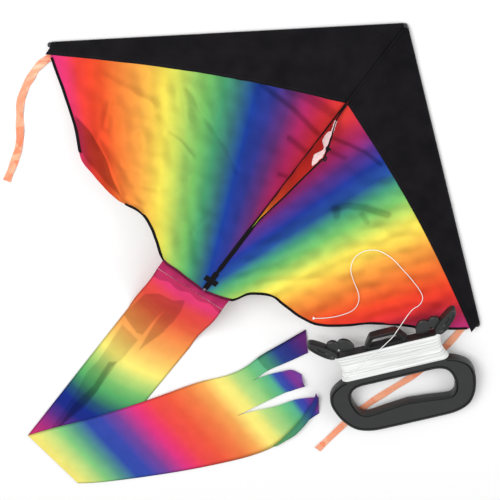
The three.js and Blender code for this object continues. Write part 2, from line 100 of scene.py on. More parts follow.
studio_floor(6.0, -0.0005)
soft_lamp("key_lamp", (-1.5, 0.4, 2.4), (0, 0, 0), 1.6, 44)
soft_lamp("nose_lamp", (1.6, 1.8, 1.5), (0.1, 0, 0), 1.2, 16)
surround = bpy.data.worlds.new("surround")
surround.use_nodes = True
dial(surround.node_tree.nodes["Background"], Color=(1, 1, 1, 1), Strength=SURROUND)
scene.world = surround

camera = bpy.data.objects.new("camera", bpy.data.cameras.new("camera"))
camera.data.lens = LENS_MM
camera.data.sensor_width = 36
camera.data.clip_end = 30
aim = (LOOK_AT - EYE).to_track_quat("-Z", "Y").to_matrix() @ Matrix.Rotation(CAMERA_ROLL, 3, "Z")
camera.matrix_world = Matrix.Translation(EYE) @ aim.to_4x4()
scene.collection.objects.link(camera)
scene.camera = camera

# Flying line.
# One length of thin braided polyester line. It is laid on the winder's neck in two close layers, and
# its free end crosses the winding, runs through the middle loop and lies in a bight on the right wing.
UP = np.array([0.0, 0.0, 1.0])
RIGHTWARDS = np.array([1.0, 0.0, 0.0])
LINE_RADIUS = 0.0008
WINDER_ORIGIN = np.array([0.31497, 0.08201, 0.04497])
WINDER_TURN = math.radians(52.9)
WINDER_TILT = math.asin(34 / 219)
NECK_TOP = -0.0048
NECK_FOOT = -0.0692
NECK_HALF = 0.107
NECK_WAIST = 0.0075
NECK_CORE = 0.0094
TURNS_PER_LAYER = 41
cos_turn, sin_turn = math.cos(WINDER_TURN), math.sin(WINDER_TURN)
cos_tilt, sin_tilt = math.cos(WINDER_TILT), math.sin(WINDER_TILT)
winder_axes = np.array(
    [
        [cos_turn, sin_turn, 0],
        [-sin_turn * cos_tilt, cos_turn * cos_tilt, sin_tilt],
        [sin_turn * sin_tilt, -cos_turn * sin_tilt, cos_tilt],
    ]
)


def on_winder(points):
    """Points given across the winder, up it and out of its face, in the row frame."""
    return WINDER_ORIGIN + np.asarray(points, float) @ winder_axes


def unit(vectors):
    """Vectors divided by their own lengths."""
    return vectors / np.maximum(np.linalg.norm(vectors, axis=-1, keepdims=True), 1e-12)


def waist(y):
    """Half width of the neck at height y: a parabola, narrowest halfway along the winding."""
    middle_y = (NECK_TOP + NECK_FOOT) / 2
    share = (y - middle_y) / (NECK_TOP - middle_y)
    return NECK_HALF - NECK_WAIST * np.clip(1 - share**2, 0, 1)


def smooth_curve(points, samples):
    """A cubic through the points whose tangent at each is half the step between its neighbours."""
    points = np.asarray(points, float)
    at = np.linspace(0, len(points) - 1, samples)
    left = np.clip(at.astype(int), 0, len(points) - 2)
    t = (at - left)[:, None]
    before, after = np.maximum(left - 1, 0), np.minimum(left + 2, len(points) - 1)
    start, end = points[left], points[left + 1]
    leave, arrive = (end - points[before]) / 2, (points[after] - start) / 2
    rise, fall = 3 * (end - start) - 2 * leave - arrive, 2 * (start - end) + leave + arrive
    return start + leave * t + rise * t**2 + fall * t**3


def tube_rings(path, radius, lean, sides):
    """Circles of that radius about each point of a path, square to it, turned from the lean direction."""
    run = unit(np.gradient(path, axis=0))
    across = unit(np.cross(run, lean))
    over = np.cross(across, run)
    turn = np.linspace(0, 2 * math.pi, sides, endpoint=False)[None, :, None]
    radius = np.broadcast_to(np.asarray(radius, float), (len(path),))[:, None, None]
    return path[:, None] + radius * (np.cos(turn) * across[:, None] + np.sin(turn) * over[:, None])


def skin(rings, joined=False):
    """Points, faces and face-corner UVs of a stack of equal rings. Quads join each ring to the next;
    the last joins the first, or a point in the middle of each end ring closes that end."""
    count, around = rings.shape[:2]
    step = np.linalg.norm(np.diff(rings, axis=0), axis=2).mean(1)
    along = np.concatenate([[0], np.cumsum(step)])
    spans = count if joined else count - 1
    i, j = np.meshgrid(np.arange(spans), np.arange(around), indexing="ij")
    i, j = i.ravel(), j.ravel()
    ni, nj = (i + 1) % count, (j + 1) % around
    quads = np.stack([i * around + j, i * around + nj, ni * around + nj, ni * around + j], 1)
    far = np.append(along, along[-1])[i + 1]
    u = np.stack([j, j + 1, j + 1, j], 1) / around
    v = np.stack([along[i], along[i], far, far], 1)
    corner_uv = np.stack([u, v], 2).reshape(-1, 2)
    points, faces = rings.reshape(-1, 3), quads.tolist()
    if not joined:
        points = np.concatenate([points, rings[:1].mean(1), rings[-1:].mean(1)])
        j = np.arange(around)
        last = (count - 1) * around
        first_fan = np.stack([(j + 1) % around, j, np.full(around, count * around)], 1)
        last_fan = np.stack([last + j, last + (j + 1) % around, np.full(around, count * around + 1)], 1)
        faces = faces + first_fan.tolist() + last_fan.tolist()
        fan_uv = np.stack([(j + 1) / around, j / around, (j + 0.5) / around], 1)
        first_uv = np.stack([fan_uv, np.zeros_like(fan_uv)], 2)
        last_uv = np.stack([fan_uv[:, [1, 0, 2]], np.full_like(fan_uv, along[-1])], 2)
        corner_uv = np.concatenate([corner_uv, first_uv.reshape(-1, 2), last_uv.reshape(-1, 2)])
    a, b, c, d = (points[quads[:, k]] for k in range(4))
    volume = (np.cross(a, b) * c).sum() + (np.cross(a, c) * d).sum()
    if volume < 0:
        sizes = [len(face) for face in faces]
        starts = np.concatenate([[0], np.cumsum(sizes)[:-1]])
        order = np.concatenate([np.arange(s, s + n)[::-1] for s, n in zip(starts, sizes)])
        corner_uv = corner_uv[order]
        faces = [face[::-1] for face in faces]
    return points, faces, corner_uv


def new_piece(name, skins, material, body, replaced=(), marks=None, sharp_degrees=None):
    """One object from one or more skins, with its point attributes, riding on its body."""
    points, faces, corner_uv, base = [], [], [], 0
    for some_points, some_faces, some_uv in skins:
        points.append(some_points)
        faces += [[base + v for v in face] for face in some_faces]
        corner_uv.append(some_uv)
        base += len(some_points)
    mesh = bpy.data.meshes.new(name)
    mesh.from_pydata(np.concatenate(points).tolist(), [], faces)
    layer = mesh.uv_layers.new(name="UVMap")
    layer.data.foreach_set("uv", np.concatenate(corner_uv).astype(np.float32).ravel())
    mesh.polygons.foreach_set("use_smooth", np.ones(len(mesh.polygons), bool))
    for mark, values in (marks or {}).items():
        attribute = mesh.attributes.new(mark, "FLOAT", "POINT")
        attribute.data.foreach_set("value", np.asarray(values, np.float32).ravel())
    if sharp_degrees:
        mesh.set_sharp_from_angle(angle=math.radians(sharp_degrees))
    mesh.materials.append(material)
    piece = bpy.data.objects.new(name, mesh)
    scene.collection.objects.link(piece)
    if body:
        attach(piece, body)
    if replaced:
        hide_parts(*replaced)
    return piece


def add_nodes(material, *kinds):
    """New shader nodes of these kinds, with the material's tree links."""
    tree = material.node_tree
    return [tree.nodes.new(f"ShaderNode{kind}") for kind in kinds] + [tree.links.new]


def tinted(red, green, blue):
    """A display colour from 0 to 255 as the linear colour that a shader takes."""
    share = np.array([red, green, blue]) / 255
    linear = np.where(share <= 0.04045, share / 12.92, ((share + 0.055) / 1.055) ** 2.4)
    return (*linear.tolist(), 1)


def two_tones(factor, ramp, shader, low, high, low_at=0, high_at=1):
    """Colours a shader by an output, through a ramp from a low to a high colour."""
    for stop, colour, place in zip(ramp.color_ramp.elements, (low, high), (low_at, high_at)):
        stop.color = tinted(*colour)
        stop.position = place
    join = ramp.id_data.links.new
    join(factor, ramp.inputs["Fac"])
    join(ramp.outputs["Color"], shader.inputs["Base Color"])


def raised(height, bump, shader, strength, distance):
    """Gives a shader the relief of a height output."""
    dial(bump, Strength=strength, Distance=distance)
    join = bump.id_data.links.new
    join(height, bump.inputs["Height"])
    join(bump.outputs["Normal"], shader.inputs["Normal"])


def braided_line():
    """White polyester braid: fine diagonal ribs wind round the cord along its own UV, and its strands
    shade from white to pale grey along it."""
    material, shader = new_material("braided_line")
    place, mapping, rib, split, soil, ramp, bump, join = add_nodes(
        material, "TexCoord", "Mapping", "TexWave", "SeparateXYZ", "TexNoise", "ValToRGB", "Bump"
    )
    dial(mapping, Scale=(1, 220, 1))
    join(place.outputs["UV"], mapping.inputs["Vector"])
    rib.bands_direction = "DIAGONAL"
    dial(rib, Scale=0.9)
    join(mapping.outputs["Vector"], rib.inputs["Vector"])
    raised(rib.outputs["Fac"], bump, shader, 0.35, 0.0002)
    soil.noise_dimensions = "1D"
    dial(soil, Scale=4.2, Detail=3)
    join(place.outputs["UV"], split.inputs["Vector"])
    join(split.outputs["Y"], soil.inputs["W"])
    two_tones(soil.outputs["Fac"], ramp, shader, (206, 209, 207), (247, 248, 247), 0.36, 0.62)
    dial(shader, Roughness=0.7, Sheen_Weight=0.2)
    return material


def wound_path():
    """Turns of a stadium whose ends are half circles, climbing the neck and coming back one layer out."""
    half_turn = np.linspace(math.pi / 2, -math.pi / 2, 9)
    ends = np.concatenate([half_turn, half_turn - math.pi])
    straight = np.array([1 / 3, -1 / 3])
    reach = np.concatenate([np.ones(9), straight, -np.ones(9), -straight])
    round_x = np.concatenate([np.cos(ends[:9]), [0, 0], np.cos(ends[9:]), [0, 0]])
    round_z = np.concatenate([np.sin(ends[:9]), [-1, -1], np.sin(ends[9:]), [1, 1]])
    per_turn = len(reach)
    turns = 2 * TURNS_PER_LAYER
    step = np.arange(turns * per_turn)
    progress = step / len(step)
    climb = 1 - np.abs(2 * progress - 1)
    y = NECK_TOP + (NECK_FOOT - NECK_TOP) * climb + 0.00012 * np.sin(step * 0.37)
    layer = np.clip((progress - 0.5) * turns + 0.5, 0, 1)
    core = NECK_CORE + LINE_RADIUS + 2 * LINE_RADIUS * layer
    half = waist(y) - NECK_CORE + 0.0004
    x = np.tile(reach, turns) * half + np.tile(round_x, turns) * core
    z = np.tile(round_z, turns) * core
    return on_winder(np.stack([x, y, z], 1))


line_white = braided_line()
winding = wound_path()
wound_line = new_piece(
    "wound_line_turns",
    [skin(tube_rings(winding, LINE_RADIUS, winder_axes[1], 6))],
    line_white,
    "winder",
    ("wound_line",),
)

SPINE_LENGTH = 0.64
LINE_ON_SAIL = 0.0078


def middle(node):
    """The middle of a CAD node's box."""
    low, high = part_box(node)
    return (np.array(low) + np.array(high)) / 2


nose = middle("nose_cap")
towards_tail = unit(middle("spine_tail_cap") - nose)
wing_axes = {}
for hand, turn in (("left", 1), ("right", -1)):
    reach = middle(f"{hand}_tip_cap") - nose
    outward = unit(reach - (reach @ towards_tail) * towards_tail)
    wing_axes[hand] = outward, turn * np.cross(outward, towards_tail)


def on_wing(hand, x, y, level):
    """Points x out from the spine, y up it from its foot and level above the rods' plane, on one wing."""
    outward, above = wing_axes[hand]
    x, y, level = (np.asarray(value, float)[..., None] for value in (x, y, level))
    return nose + towards_tail * (SPINE_LENGTH - y) + outward * x + above * level


over_winder = on_winder(
    [(-0.100, -0.056, 0.0138), (-0.070, -0.038, 0.0138), (-0.040, -0.019, 0.0138),
     (-0.0135, -0.003, 0.0138), (0.006, 0.009, 0.0118), (0.020, 0.019, 0.0108), (0.031, 0.030, 0.0094)]
)
bight = np.array(
    [(0.3655, 0.186), (0.371, 0.206), (0.367, 0.222), (0.350, 0.233), (0.322, 0.243), (0.293, 0.251),
     (0.264, 0.258), (0.236, 0.258), (0.219, 0.251), (0.207, 0.238), (0.202, 0.217), (0.211, 0.195),
     (0.231, 0.178), (0.253, 0.163), (0.266, 0.147), (0.268, 0.126), (0.253, 0.102), (0.232, 0.082),
     (0.214, 0.070)]
)
lying = on_wing("right", bight[:, 0], bight[:, 1], LINE_ON_SAIL)
free_path = smooth_curve(np.concatenate([over_winder, lying]), 260)
free_line = new_piece(
    "free_line_end",
    [skin(tube_rings(free_path, LINE_RADIUS, UP, 10))],
    line_white,
    None,
    ("free_line",),
)


def overhand_knot(centre, size, thickness):
    """A trefoil: (sin t + 2 sin 2t, cos t - 2 cos 2t, -sin 3t), scaled, with a round cord along it."""
    t = np.linspace(0, 2 * math.pi, 72, endpoint=False)
    track = np.stack([np.sin(t) + 2 * np.sin(2 * t), np.cos(t) - 2 * np.cos(2 * t), -np.sin(3 * t)], 1)
    track = centre + size / 3 * track
    run = unit(np.roll(track, -1, 0) - np.roll(track, 1, 0))
    lean = unit(track - centre + UP * size)
    across = unit(np.cross(run, lean))
    over = np.cross(across, run)
    turn = np.linspace(0, 2 * math.pi, 8, endpoint=False)[None, :, None]
    rings = track[:, None] + thickness * (np.cos(turn) * across[:, None] + np.sin(turn) * over[:, None])
    return skin(rings, joined=True)


line_knot = new_piece(
    "free_line_knot",
    [overhand_knot(free_path[-1], 0.0022, LINE_RADIUS)],
    line_white,
    "right_wing",
)
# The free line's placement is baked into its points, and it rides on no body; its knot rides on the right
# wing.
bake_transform(free_line)

# Line winder.
# One black moulded piece: a flat neck that the line lies on, two horns and a middle loop that keep it
# there, and a D grip whose thick bar fills the hand. Raised lips run round the grip and its opening.
RIM_TOP = 0.009
NECK_ROUND = 0.009


def moulded_plastic(name, colour, roughness):
    """Dull-gloss moulded plastic: a fine pebble in the bump, and faint rubbing in the gloss."""
    material, shader = new_material(name)
    place, pebble, rub, gloss, tone, bump, join = add_nodes(
        material, "TexCoord", "TexNoise", "TexNoise", "MapRange", "ValToRGB", "Bump"
    )
    dial(pebble, Scale=900)
    dial(rub, Scale=35, Detail=6)
    for texture in (pebble, rub):
        join(place.outputs["Object"], texture.inputs["Vector"])
    raised(pebble.outputs["Fac"], bump, shader, 0.12, 0.0002)
    dial(gloss, To_Min=roughness - 0.06, To_Max=roughness + 0.1)
    join(rub.outputs["Fac"], gloss.inputs["Value"])
    join(gloss.outputs["Result"], shader.inputs["Roughness"])
    two_tones(rub.outputs["Fac"], tone, shader, colour, [part + 10 for part in colour])
    return material


def mirrored_loop(half, samples):
    """A closed outline from its right half, run from top to bottom, and that half's mirror image,
    with its points spaced evenly along it."""
    right = smooth_curve(half, 240)
    length = np.concatenate([[0], np.cumsum(np.linalg.norm(np.diff(right, axis=0), axis=1))])
    at = np.linspace(0, length[-1], samples // 2 + 1)
    right = np.stack([np.interp(at, length, right[:, k]) for k in range(2)], 1)
    return np.concatenate([right, right[-2:0:-1] * [-1, 1]])


def inward(outline):
    """The unit normals of a clockwise closed outline, towards its inside."""
    run = unit(np.roll(outline, -1, 0) - np.roll(outline, 1, 0))
    return np.stack([run[:, 1], -run[:, 0]], 1)


def lipped_ring(outer, inner, lip, top, plate):
    """A closed ring of material between two outlines. Across it, its height is a raised lip along each
    edge, a groove beside each lip and a gently crowned plate between, and the same below."""
    rise = [(0, 0.75 * top), (0.2, top), (0.6, top), (0.8, 0.92 * top), (0.95, 0.55 * top)]
    rise += [(1.45, 0.5 * top), (1.75, plate)]
    outer_in, inner_out = inward(outer), -inward(inner)
    columns = [outer + outer_in * share * lip for share, _ in rise]
    heights = [height for _, height in rise]
    columns.append((outer + inner) / 2)
    heights.append(plate * 1.06)
    columns += [inner + inner_out * share * lip for share, _ in rise[::-1]]
    heights += [height for _, height in rise[::-1]]
    columns = np.stack(columns + columns[::-1], 1)
    heights = np.array(heights + [-height for height in heights[::-1]])
    heights = np.broadcast_to(heights[None, :, None], (*columns.shape[:2], 1))
    return skin(on_winder(np.concatenate([columns, heights], 2)), joined=True)


def lobed_plate(outline, profile):
    """A closed plate from an outline seen from a point inside it. Its rings are the outline drawn in
    towards that point by each share of the profile, at the profile's height above and below."""
    centre = outline.mean(0)
    shares = np.array(profile + [(share, -height) for share, height in profile[::-1]])
    flat = centre + (outline - centre)[None] * shares[:, 0][:, None, None]
    height = np.broadcast_to(shares[:, 1][:, None, None], (*flat.shape[:2], 1))
    return skin(on_winder(np.concatenate([flat, height], 2)))


def cut_corners(outline, rounds):
    """Cuts each corner of a closed outline a quarter of the way along both of its sides, repeatedly."""
    outline = np.asarray(outline, float)
    for _ in range(rounds):
        following = np.roll(outline, -1, 0)
        outline = np.stack([0.75 * outline + 0.25 * following, 0.25 * outline + 0.75 * following], 1)
        outline = outline.reshape(-1, 2)
    return outline


grip_outer = mirrored_loop(
    [(0, -0.073), (0.055, -0.073), (0.100, -0.073), (0.122, -0.080), (0.142, -0.098), (0.149, -0.122),
     (0.146, -0.150), (0.136, -0.180), (0.118, -0.205), (0.088, -0.218), (0.045, -0.220), (0, -0.220)],
    168,
)
grip_inner = mirrored_loop(
    [(0, -0.092), (0.045, -0.092), (0.082, -0.093), (0.099, -0.104), (0.105, -0.125), (0.103, -0.148),
     (0.096, -0.166), (0.082, -0.173), (0.045, -0.168), (0, -0.163)],
    168,
)
neck_y = np.array(
    [-0.080, -0.078, -0.0735, -0.0692, -0.058, -0.047, -0.037, -0.027, -0.016, -0.0075, -0.0048, -0.0036]
)
neck_half = waist(neck_y) - 0.001
neck_turn = np.linspace(0, 2 * math.pi, 48, endpoint=False)
corner_x, corner_z = NECK_ROUND * np.cos(neck_turn), NECK_ROUND * np.sin(neck_turn)
neck_x = np.sign(corner_x) * (neck_half[:, None] - NECK_ROUND) + corner_x
neck_rings = np.stack(np.broadcast_arrays(neck_x, neck_y[:, None], corner_z), 2)
loop_outer = cut_corners(
    [(-0.045, -0.007), (-0.043, 0.002), (-0.029, 0.0245), (-0.023, 0.028), (0.023, 0.028), (0.029, 0.0245),
     (0.043, 0.002), (0.045, -0.007)], 2
)
loop_inner = cut_corners(
    [(-0.034, 0.001), (-0.032, 0.004), (-0.023, 0.0185), (-0.019, 0.0205), (0.019, 0.0205), (0.023, 0.0185),
     (0.032, 0.004), (0.034, 0.001)], 2
)
winder_skins = [
    lipped_ring(grip_outer, grip_inner, 0.0036, RIM_TOP, 0.0074),
    skin(on_winder(neck_rings)),
    lipped_ring(loop_outer, loop_inner, 0.0018, 0.0085, 0.0066),
]
arm_profile = [
    (0.02, 0.003), (0.3, 0.003), (0.4, 0.0055), (0.7, 0.006), (0.78, 0.0085), (0.95, 0.009), (1, 0.0075)
]
petal_profile = [(0.02, 0.0045), (0.9, 0.0042), (1, 0.003)]
for side in (-1, 1):
    arm = cut_corners(
        [(0.098, -0.008), (0.117, -0.008), (0.151, 0.032), (0.148, 0.045), (0.137, 0.044), (0.100, 0.010)], 3
    )
    near_petal = cut_corners(
        [(0.100, 0.002), (0.116, 0.014), (0.114, 0.032), (0.098, 0.036), (0.088, 0.022)], 3
    )
    far_petal = cut_corners([(0.092, 0), (0.094, 0.028), (0.080, 0.034), (0.066, 0.024), (0.060, 0)], 3)
    for outline, profile in ((arm, arm_profile), (near_petal, petal_profile), (far_petal, petal_profile)):
        winder_skins.append(lobed_plate(outline[::-side] * [side, 1], profile))
black_moulding = moulded_plastic("black_moulding", (31, 32, 33), 0.4)
new_piece(
    "winder_moulding", winder_skins, black_moulding, "winder", ("winder_body",),
    sharp_degrees=38,
)

# Rods and fittings.
# Pultruded glass-fibre rods, dark grey and faintly mottled, held by small black moulded fittings: a cap
# on each end, a clip on each leading edge and a ferrule in the spreader.


def pultruded_rod():
    """Dark resin over glass: fine noise mottles the grey, under a satin finish."""
    material, shader = new_material("pultruded_rod")
    place, streak, tone, bump, join = add_nodes(material, "TexCoord", "TexNoise", "ValToRGB", "Bump")
    dial(streak, Scale=420, Detail=3)
    join(place.outputs["Object"], streak.inputs["Vector"])
    two_tones(streak.outputs["Fac"], tone, shader, (24, 25, 27), (52, 53, 56))
    raised(streak.outputs["Fac"], bump, shader, 0.1, 0.0001)
    dial(shader, Roughness=0.38)
    return material


rod_grey = pultruded_rod()
fitting_black = moulded_plastic("black_fitting", (26, 26, 28), 0.42)
finishes = {"spine_rod": rod_grey}
for name in ("nose_cap", "spine_tail_cap", "spreader_ferrule"):
    finishes[name] = fitting_black
for hand in ("left", "right"):
    for part, finish in (
        ("leading_edge_rod", rod_grey), ("spreader_rod", rod_grey), ("tip_cap", fitting_black),
        ("spreader_clip", fitting_black),
    ):
        finishes[f"{hand}_{part}"] = finish
for name, finish in finishes.items():
    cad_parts[name].material_slots[0].material = finish

# Rod sleeves.
# Narrow tubes of the black cloth, sewn under the leading edges and down the spine. The rods are pushed
# in from the tips. The cloth puckers a little round the rod, and a gap is left at each clip.
LEADING_DROP = 0.408
WING_REACH = 0.5
SLEEVE_RADIUS = 0.0036
SLEEVE_BORE = 0.0024


def plain_cloth(name, colour, roughness=0.7, thread=0.0009):
    """Plain taffeta of one dye: two crossed sets of fine ridges are the weave, and the slow noise that gives
    its crease relief also paints it a little darker in its low places, a painted shade in the creases."""
    material, shader = new_material(name)
    place, tone, crease, join = add_nodes(material, "TexCoord", "ValToRGB", "TexNoise")
    dial(crease, Scale=26, Detail=5)
    join(place.outputs["Object"], crease.inputs["Vector"])
    low, high = [part - 5 for part in colour], [part + 6 for part in colour]
    two_tones(crease.outputs["Fac"], tone, shader, low, high, 0.3, 0.75)
    weave_bump(material, shader, thread, crease)
    dial(shader, Roughness=roughness, Specular_IOR_Level=0.08, Sheen_Weight=0.01)
    return material


def weave_bump(material, shader, thread, crease):
    """Adds the height of warp and weft ridges, from the piece's UV in metres, to that of the creases."""
    place, warp, weft, over, ridges, folds, join = add_nodes(
        material, "TexCoord", "TexWave", "TexWave", "Math", "Bump", "Bump"
    )
    for wave, direction in ((warp, "X"), (weft, "Y")):
        wave.bands_direction = direction
        dial(wave, Scale=math.pi / 10 / thread)
        join(place.outputs["UV"], wave.inputs["Vector"])
    over.operation = "MAXIMUM"
    join(warp.outputs["Fac"], over.inputs[0])
    join(weft.outputs["Fac"], over.inputs[1])
    raised(over.outputs["Value"], ridges, folds, 0.25, 0.00015)
    raised(crease.outputs["Fac"], folds, shader, 0.3, 0.0015)


def sleeve(start, end, outer, bore, seed):
    """A tube from start to end with a wall. Its outer radius swells and narrows by a sum of sines along
    and round it, and the bore stays round."""
    share = np.linspace(0, 1, 90)[:, None]
    path = np.array(start) + share * (np.array(end) - np.array(start))
    length = np.linalg.norm(np.array(end) - np.array(start))
    turn = np.linspace(0, 2 * math.pi, 16, endpoint=False)[None]
    pucker = np.sin(share * length * 390 + seed) * np.cos(turn * 2 + seed)
    pucker = pucker + np.sin(share * length * 170 + 3 * turn)
    outside = tube_rings(path, 1.0, UP, 16) - path[:, None]
    outer_rings = path[:, None] + outside * (outer + 0.00016 * pucker)[..., None]
    inner_rings = path[::-1, None] + outside[::-1] * bore
    return skin(np.concatenate([outer_rings, inner_rings]), joined=True)


black_cloth = plain_cloth("black_cloth", (17, 15, 19))
EDGE_LENGTH = math.hypot(WING_REACH, LEADING_DROP)
for hand in ("left", "right"):
    for part, first, last in (("upper", 0.02, 0.3568), ("lower", 0.3818, 0.6398)):
        ends = []
        for distance in (first, last):
            share = distance / EDGE_LENGTH
            ends.append(on_wing(hand, WING_REACH * share, SPINE_LENGTH - LEADING_DROP * share, 0))
        name = f"{hand}_{part}_sleeve"
        tube = sleeve(*ends, SLEEVE_RADIUS, SLEEVE_BORE, len(name))
        new_piece(f"{name}_cloth", [tube], black_cloth, f"{hand}_wing", (name,))
spine_tube = sleeve(on_wing("left", 0, 0.0234, 0), on_wing("left", 0, 0.632, 0), 0.0041, 0.0029, 5)
new_piece("spine_sleeve_cloth", [spine_tube], black_cloth, "spine", ("spine_sleeve",))

# Wing sails.
# Two panels of dyed polyester taffeta, one for each wing, cut with a scalloped trailing edge and sewn
# to the black leading panels. They lie slack on the rods, with creases from packing. The shadows of the
# rods and the keel's folds behind them are painted on them in soft bands, with painted shade on one
# flank of each crease. The left panel's outer lobe is turned under, and the cloth over it is painted
# darker as painted shade.
CLOTH_LEVEL = 0.0058
CLOTH_THICKNESS = 0.0005
FOLD_GAP = 0.0012
PANEL_ROOT_Y = 0.468
PANEL_TIP_Y = 0.216
PANEL_BOW = 0.014
SAIL_END_X = 0.488
trailing_edge = {
    "left": [(0, 1), (60, 5), (99, 8), (133, 33), (152, 46), (183, 60), (226, 57), (264, 62), (300, 72),
             (336, 84), (375, 124), (423, 165), (468, 200), (488, 216)],
    "right": [(0, 1), (53, 12), (63, 18), (80, 44), (114, 62), (143, 60), (183, 55), (218, 56), (250, 68),
              (283, 90), (321, 121), (380, 152), (411, 165), (449, 190), (488, 216)],
}
edge_curve = {hand: smooth_curve(np.array(marks) / 1000, 500) for hand, marks in trailing_edge.items()}


def trailing_y(hand, x):
    """Height of the trailing edge above the spine's foot, x out from the spine."""
    curve = edge_curve[hand]
    return np.interp(x, curve[:, 0], curve[:, 1])


def panel_y(x):
    """Height of the seam between sail and leading panel: a straight run with a sine bow in it."""
    share = x / WING_REACH
    return PANEL_ROOT_Y + (PANEL_TIP_Y - PANEL_ROOT_Y) * share + PANEL_BOW * np.sin(math.pi * share)


def leading_y(x):
    """Height of the leading edge, straight from the nose to the tip."""
    return SPINE_LENGTH - LEADING_DROP * x / WING_REACH


def distance_to(x, y, points):
    """How far each place is from a line through points given in millimetres: the least of its distances
    to the line's stretches, each taken to the nearest place on that stretch."""
    nearest = np.full(np.shape(x), np.inf)
    points = np.array(points, float) / 1000
    for (ax, ay), (bx, by) in zip(points[:-1], points[1:]):
        dx, dy = bx - ax, by - ay
        share = np.clip(((x - ax) * dx + (y - ay) * dy) / (dx * dx + dy * dy), 0, 1)
        nearest = np.minimum(nearest, np.hypot(x - ax - share * dx, y - ay - share * dy))
    return nearest


def near_line(x, y, points, width):
    """1 on a line through the points, falling as a bell of that width to its sides and past its ends."""
    return np.exp(-((distance_to(x, y, points) / width) ** 2))


def eased(value):
    """A smooth step from 0 to 1."""
    value = np.clip(value, 0, 1)
    return value * value * (3 - 2 * value)


# Each crease is its line in millimetres, its width in metres and its height in metres.
creases = {
    "left": [
        ([(249, 315), (184, 286), (123, 264), (86, 240)], 0.006, 0.0018),
        ([(231, 221), (203, 221), (169, 212)], 0.005, -0.0022),
        ([(385, 243), (340, 247), (287, 252)], 0.009, -0.0028),
        ([(352, 211), (344, 181), (335, 163)], 0.006, 0.0030),
        ([(362, 207), (335, 190), (301, 143)], 0.010, 0.0020),
        ([(332, 139), (292, 129), (240, 106), (182, 73)], 0.011, 0.0032),
        ([(325, 134), (268, 92), (222, 60)], 0.006, -0.0022),
        ([(319, 165), (279, 210)], 0.008, 0.0018),
        ([(315, 164), (265, 233)], 0.007, -0.0015),
        ([(266, 117), (235, 126)], 0.006, 0.0020),
        ([(225, 101), (188, 119)], 0.005, 0.0014),
        ([(84, 88), (78, 146)], 0.006, 0.0018),
        ([(265, 312), (217, 269)], 0.008, -0.0014),
        ([(150, 90), (140, 150), (120, 200)], 0.016, -0.0022),
        ([(226, 66), (184, 71)], 0.005, 0.0022),
        ([(60, 60), (110, 120), (150, 170)], 0.012, 0.0016),
    ],
    "right": [
        ([(30, 70), (70, 120), (110, 180)], 0.010, 0.0020),
        ([(45, 40), (100, 90), (170, 140)], 0.010, -0.0018),
        ([(20, 110), (40, 180), (70, 240)], 0.010, 0.0016),
        ([(120, 80), (150, 150), (160, 230)], 0.012, 0.0016),
        ([(230, 90), (250, 160), (240, 230)], 0.016, -0.0018),
        ([(300, 130), (330, 190), (400, 230)], 0.012, 0.0018),
        ([(250, 300), (190, 280), (130, 250)], 0.012, -0.0016),
        ([(360, 170), (330, 220), (280, 260)], 0.012, 0.0015),
    ],
}
CREASE_GAIN = 0.75
rng = np.random.default_rng(41)
ripple_turn = rng.uniform(0, math.pi, 14)
ripple_pitch = rng.uniform(55, 210, 14)
ripple_phase = rng.uniform(0, 2 * math.pi, 14)


def billow(hand, x, y):
    """Height of the slack cloth above its flat level: its own creases, and a field of small crossing
    ripples, both dying away towards the spine and the leading edge, where it is sewn down."""
    height = sum(h * near_line(x, y, line, width) for line, width, h in creases[hand])
    shift = 0 if hand == "left" else 1.7
    ripples = sum(
        np.sin(pitch * (x * math.cos(turn) + y * math.sin(turn)) + phase + shift) / pitch**0.7
        for turn, pitch, phase in zip(ripple_turn, ripple_pitch, ripple_phase)
    )
    held = eased(x / 0.05) * eased((leading_y(x) - y) / 0.09)
    sag = -0.0035 * eased(x / 0.16) * eased((leading_y(x) - y) / 0.2)
    return held * (CREASE_GAIN * height + 0.0085 * ripples + 0.0012) + sag


def cloth_piece(name, sheets, material, body, replaced=(), thickness=CLOTH_THICKNESS, welded=False):
    """One cloth object from grids of points, each with its UV in metres and its marks. Solidify gives
    it half its thickness on each side. Welded grids share the vertices where their edges meet."""
    points, faces, uv, marks, base = [], [], [], {}, 0
    for grid, flat, values in sheets:
        rows, columns = grid.shape[:2]
        i, j = np.meshgrid(np.arange(rows - 1), np.arange(columns - 1), indexing="ij")
        corner = (i * columns + j).ravel()
        faces.append(base + np.stack([corner, corner + columns, corner + columns + 1, corner + 1], 1))
        points.append(grid.reshape(-1, 3))
        uv.append(flat.reshape(-1, 2))
        for mark, value in values.items():
            marks.setdefault(mark, []).append(np.asarray(value, float).ravel())
        base += rows * columns
    points, faces, uv = np.concatenate(points), np.concatenate(faces), np.concatenate(uv)
    marks = {mark: np.concatenate(values) for mark, values in marks.items()}
    piece = new_piece(name, [(points, faces.tolist(), uv[faces.ravel()])], material, None, (), marks)
    if welded:
        weld = piece.modifiers.new("weld", "WELD")
        weld.merge_threshold = 0.00002
    wall = piece.modifiers.new("wall", "SOLIDIFY")
    wall.thickness = thickness
    wall.offset = 0
    if body:
        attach(piece, body)
    if replaced:
        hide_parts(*replaced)
    return piece


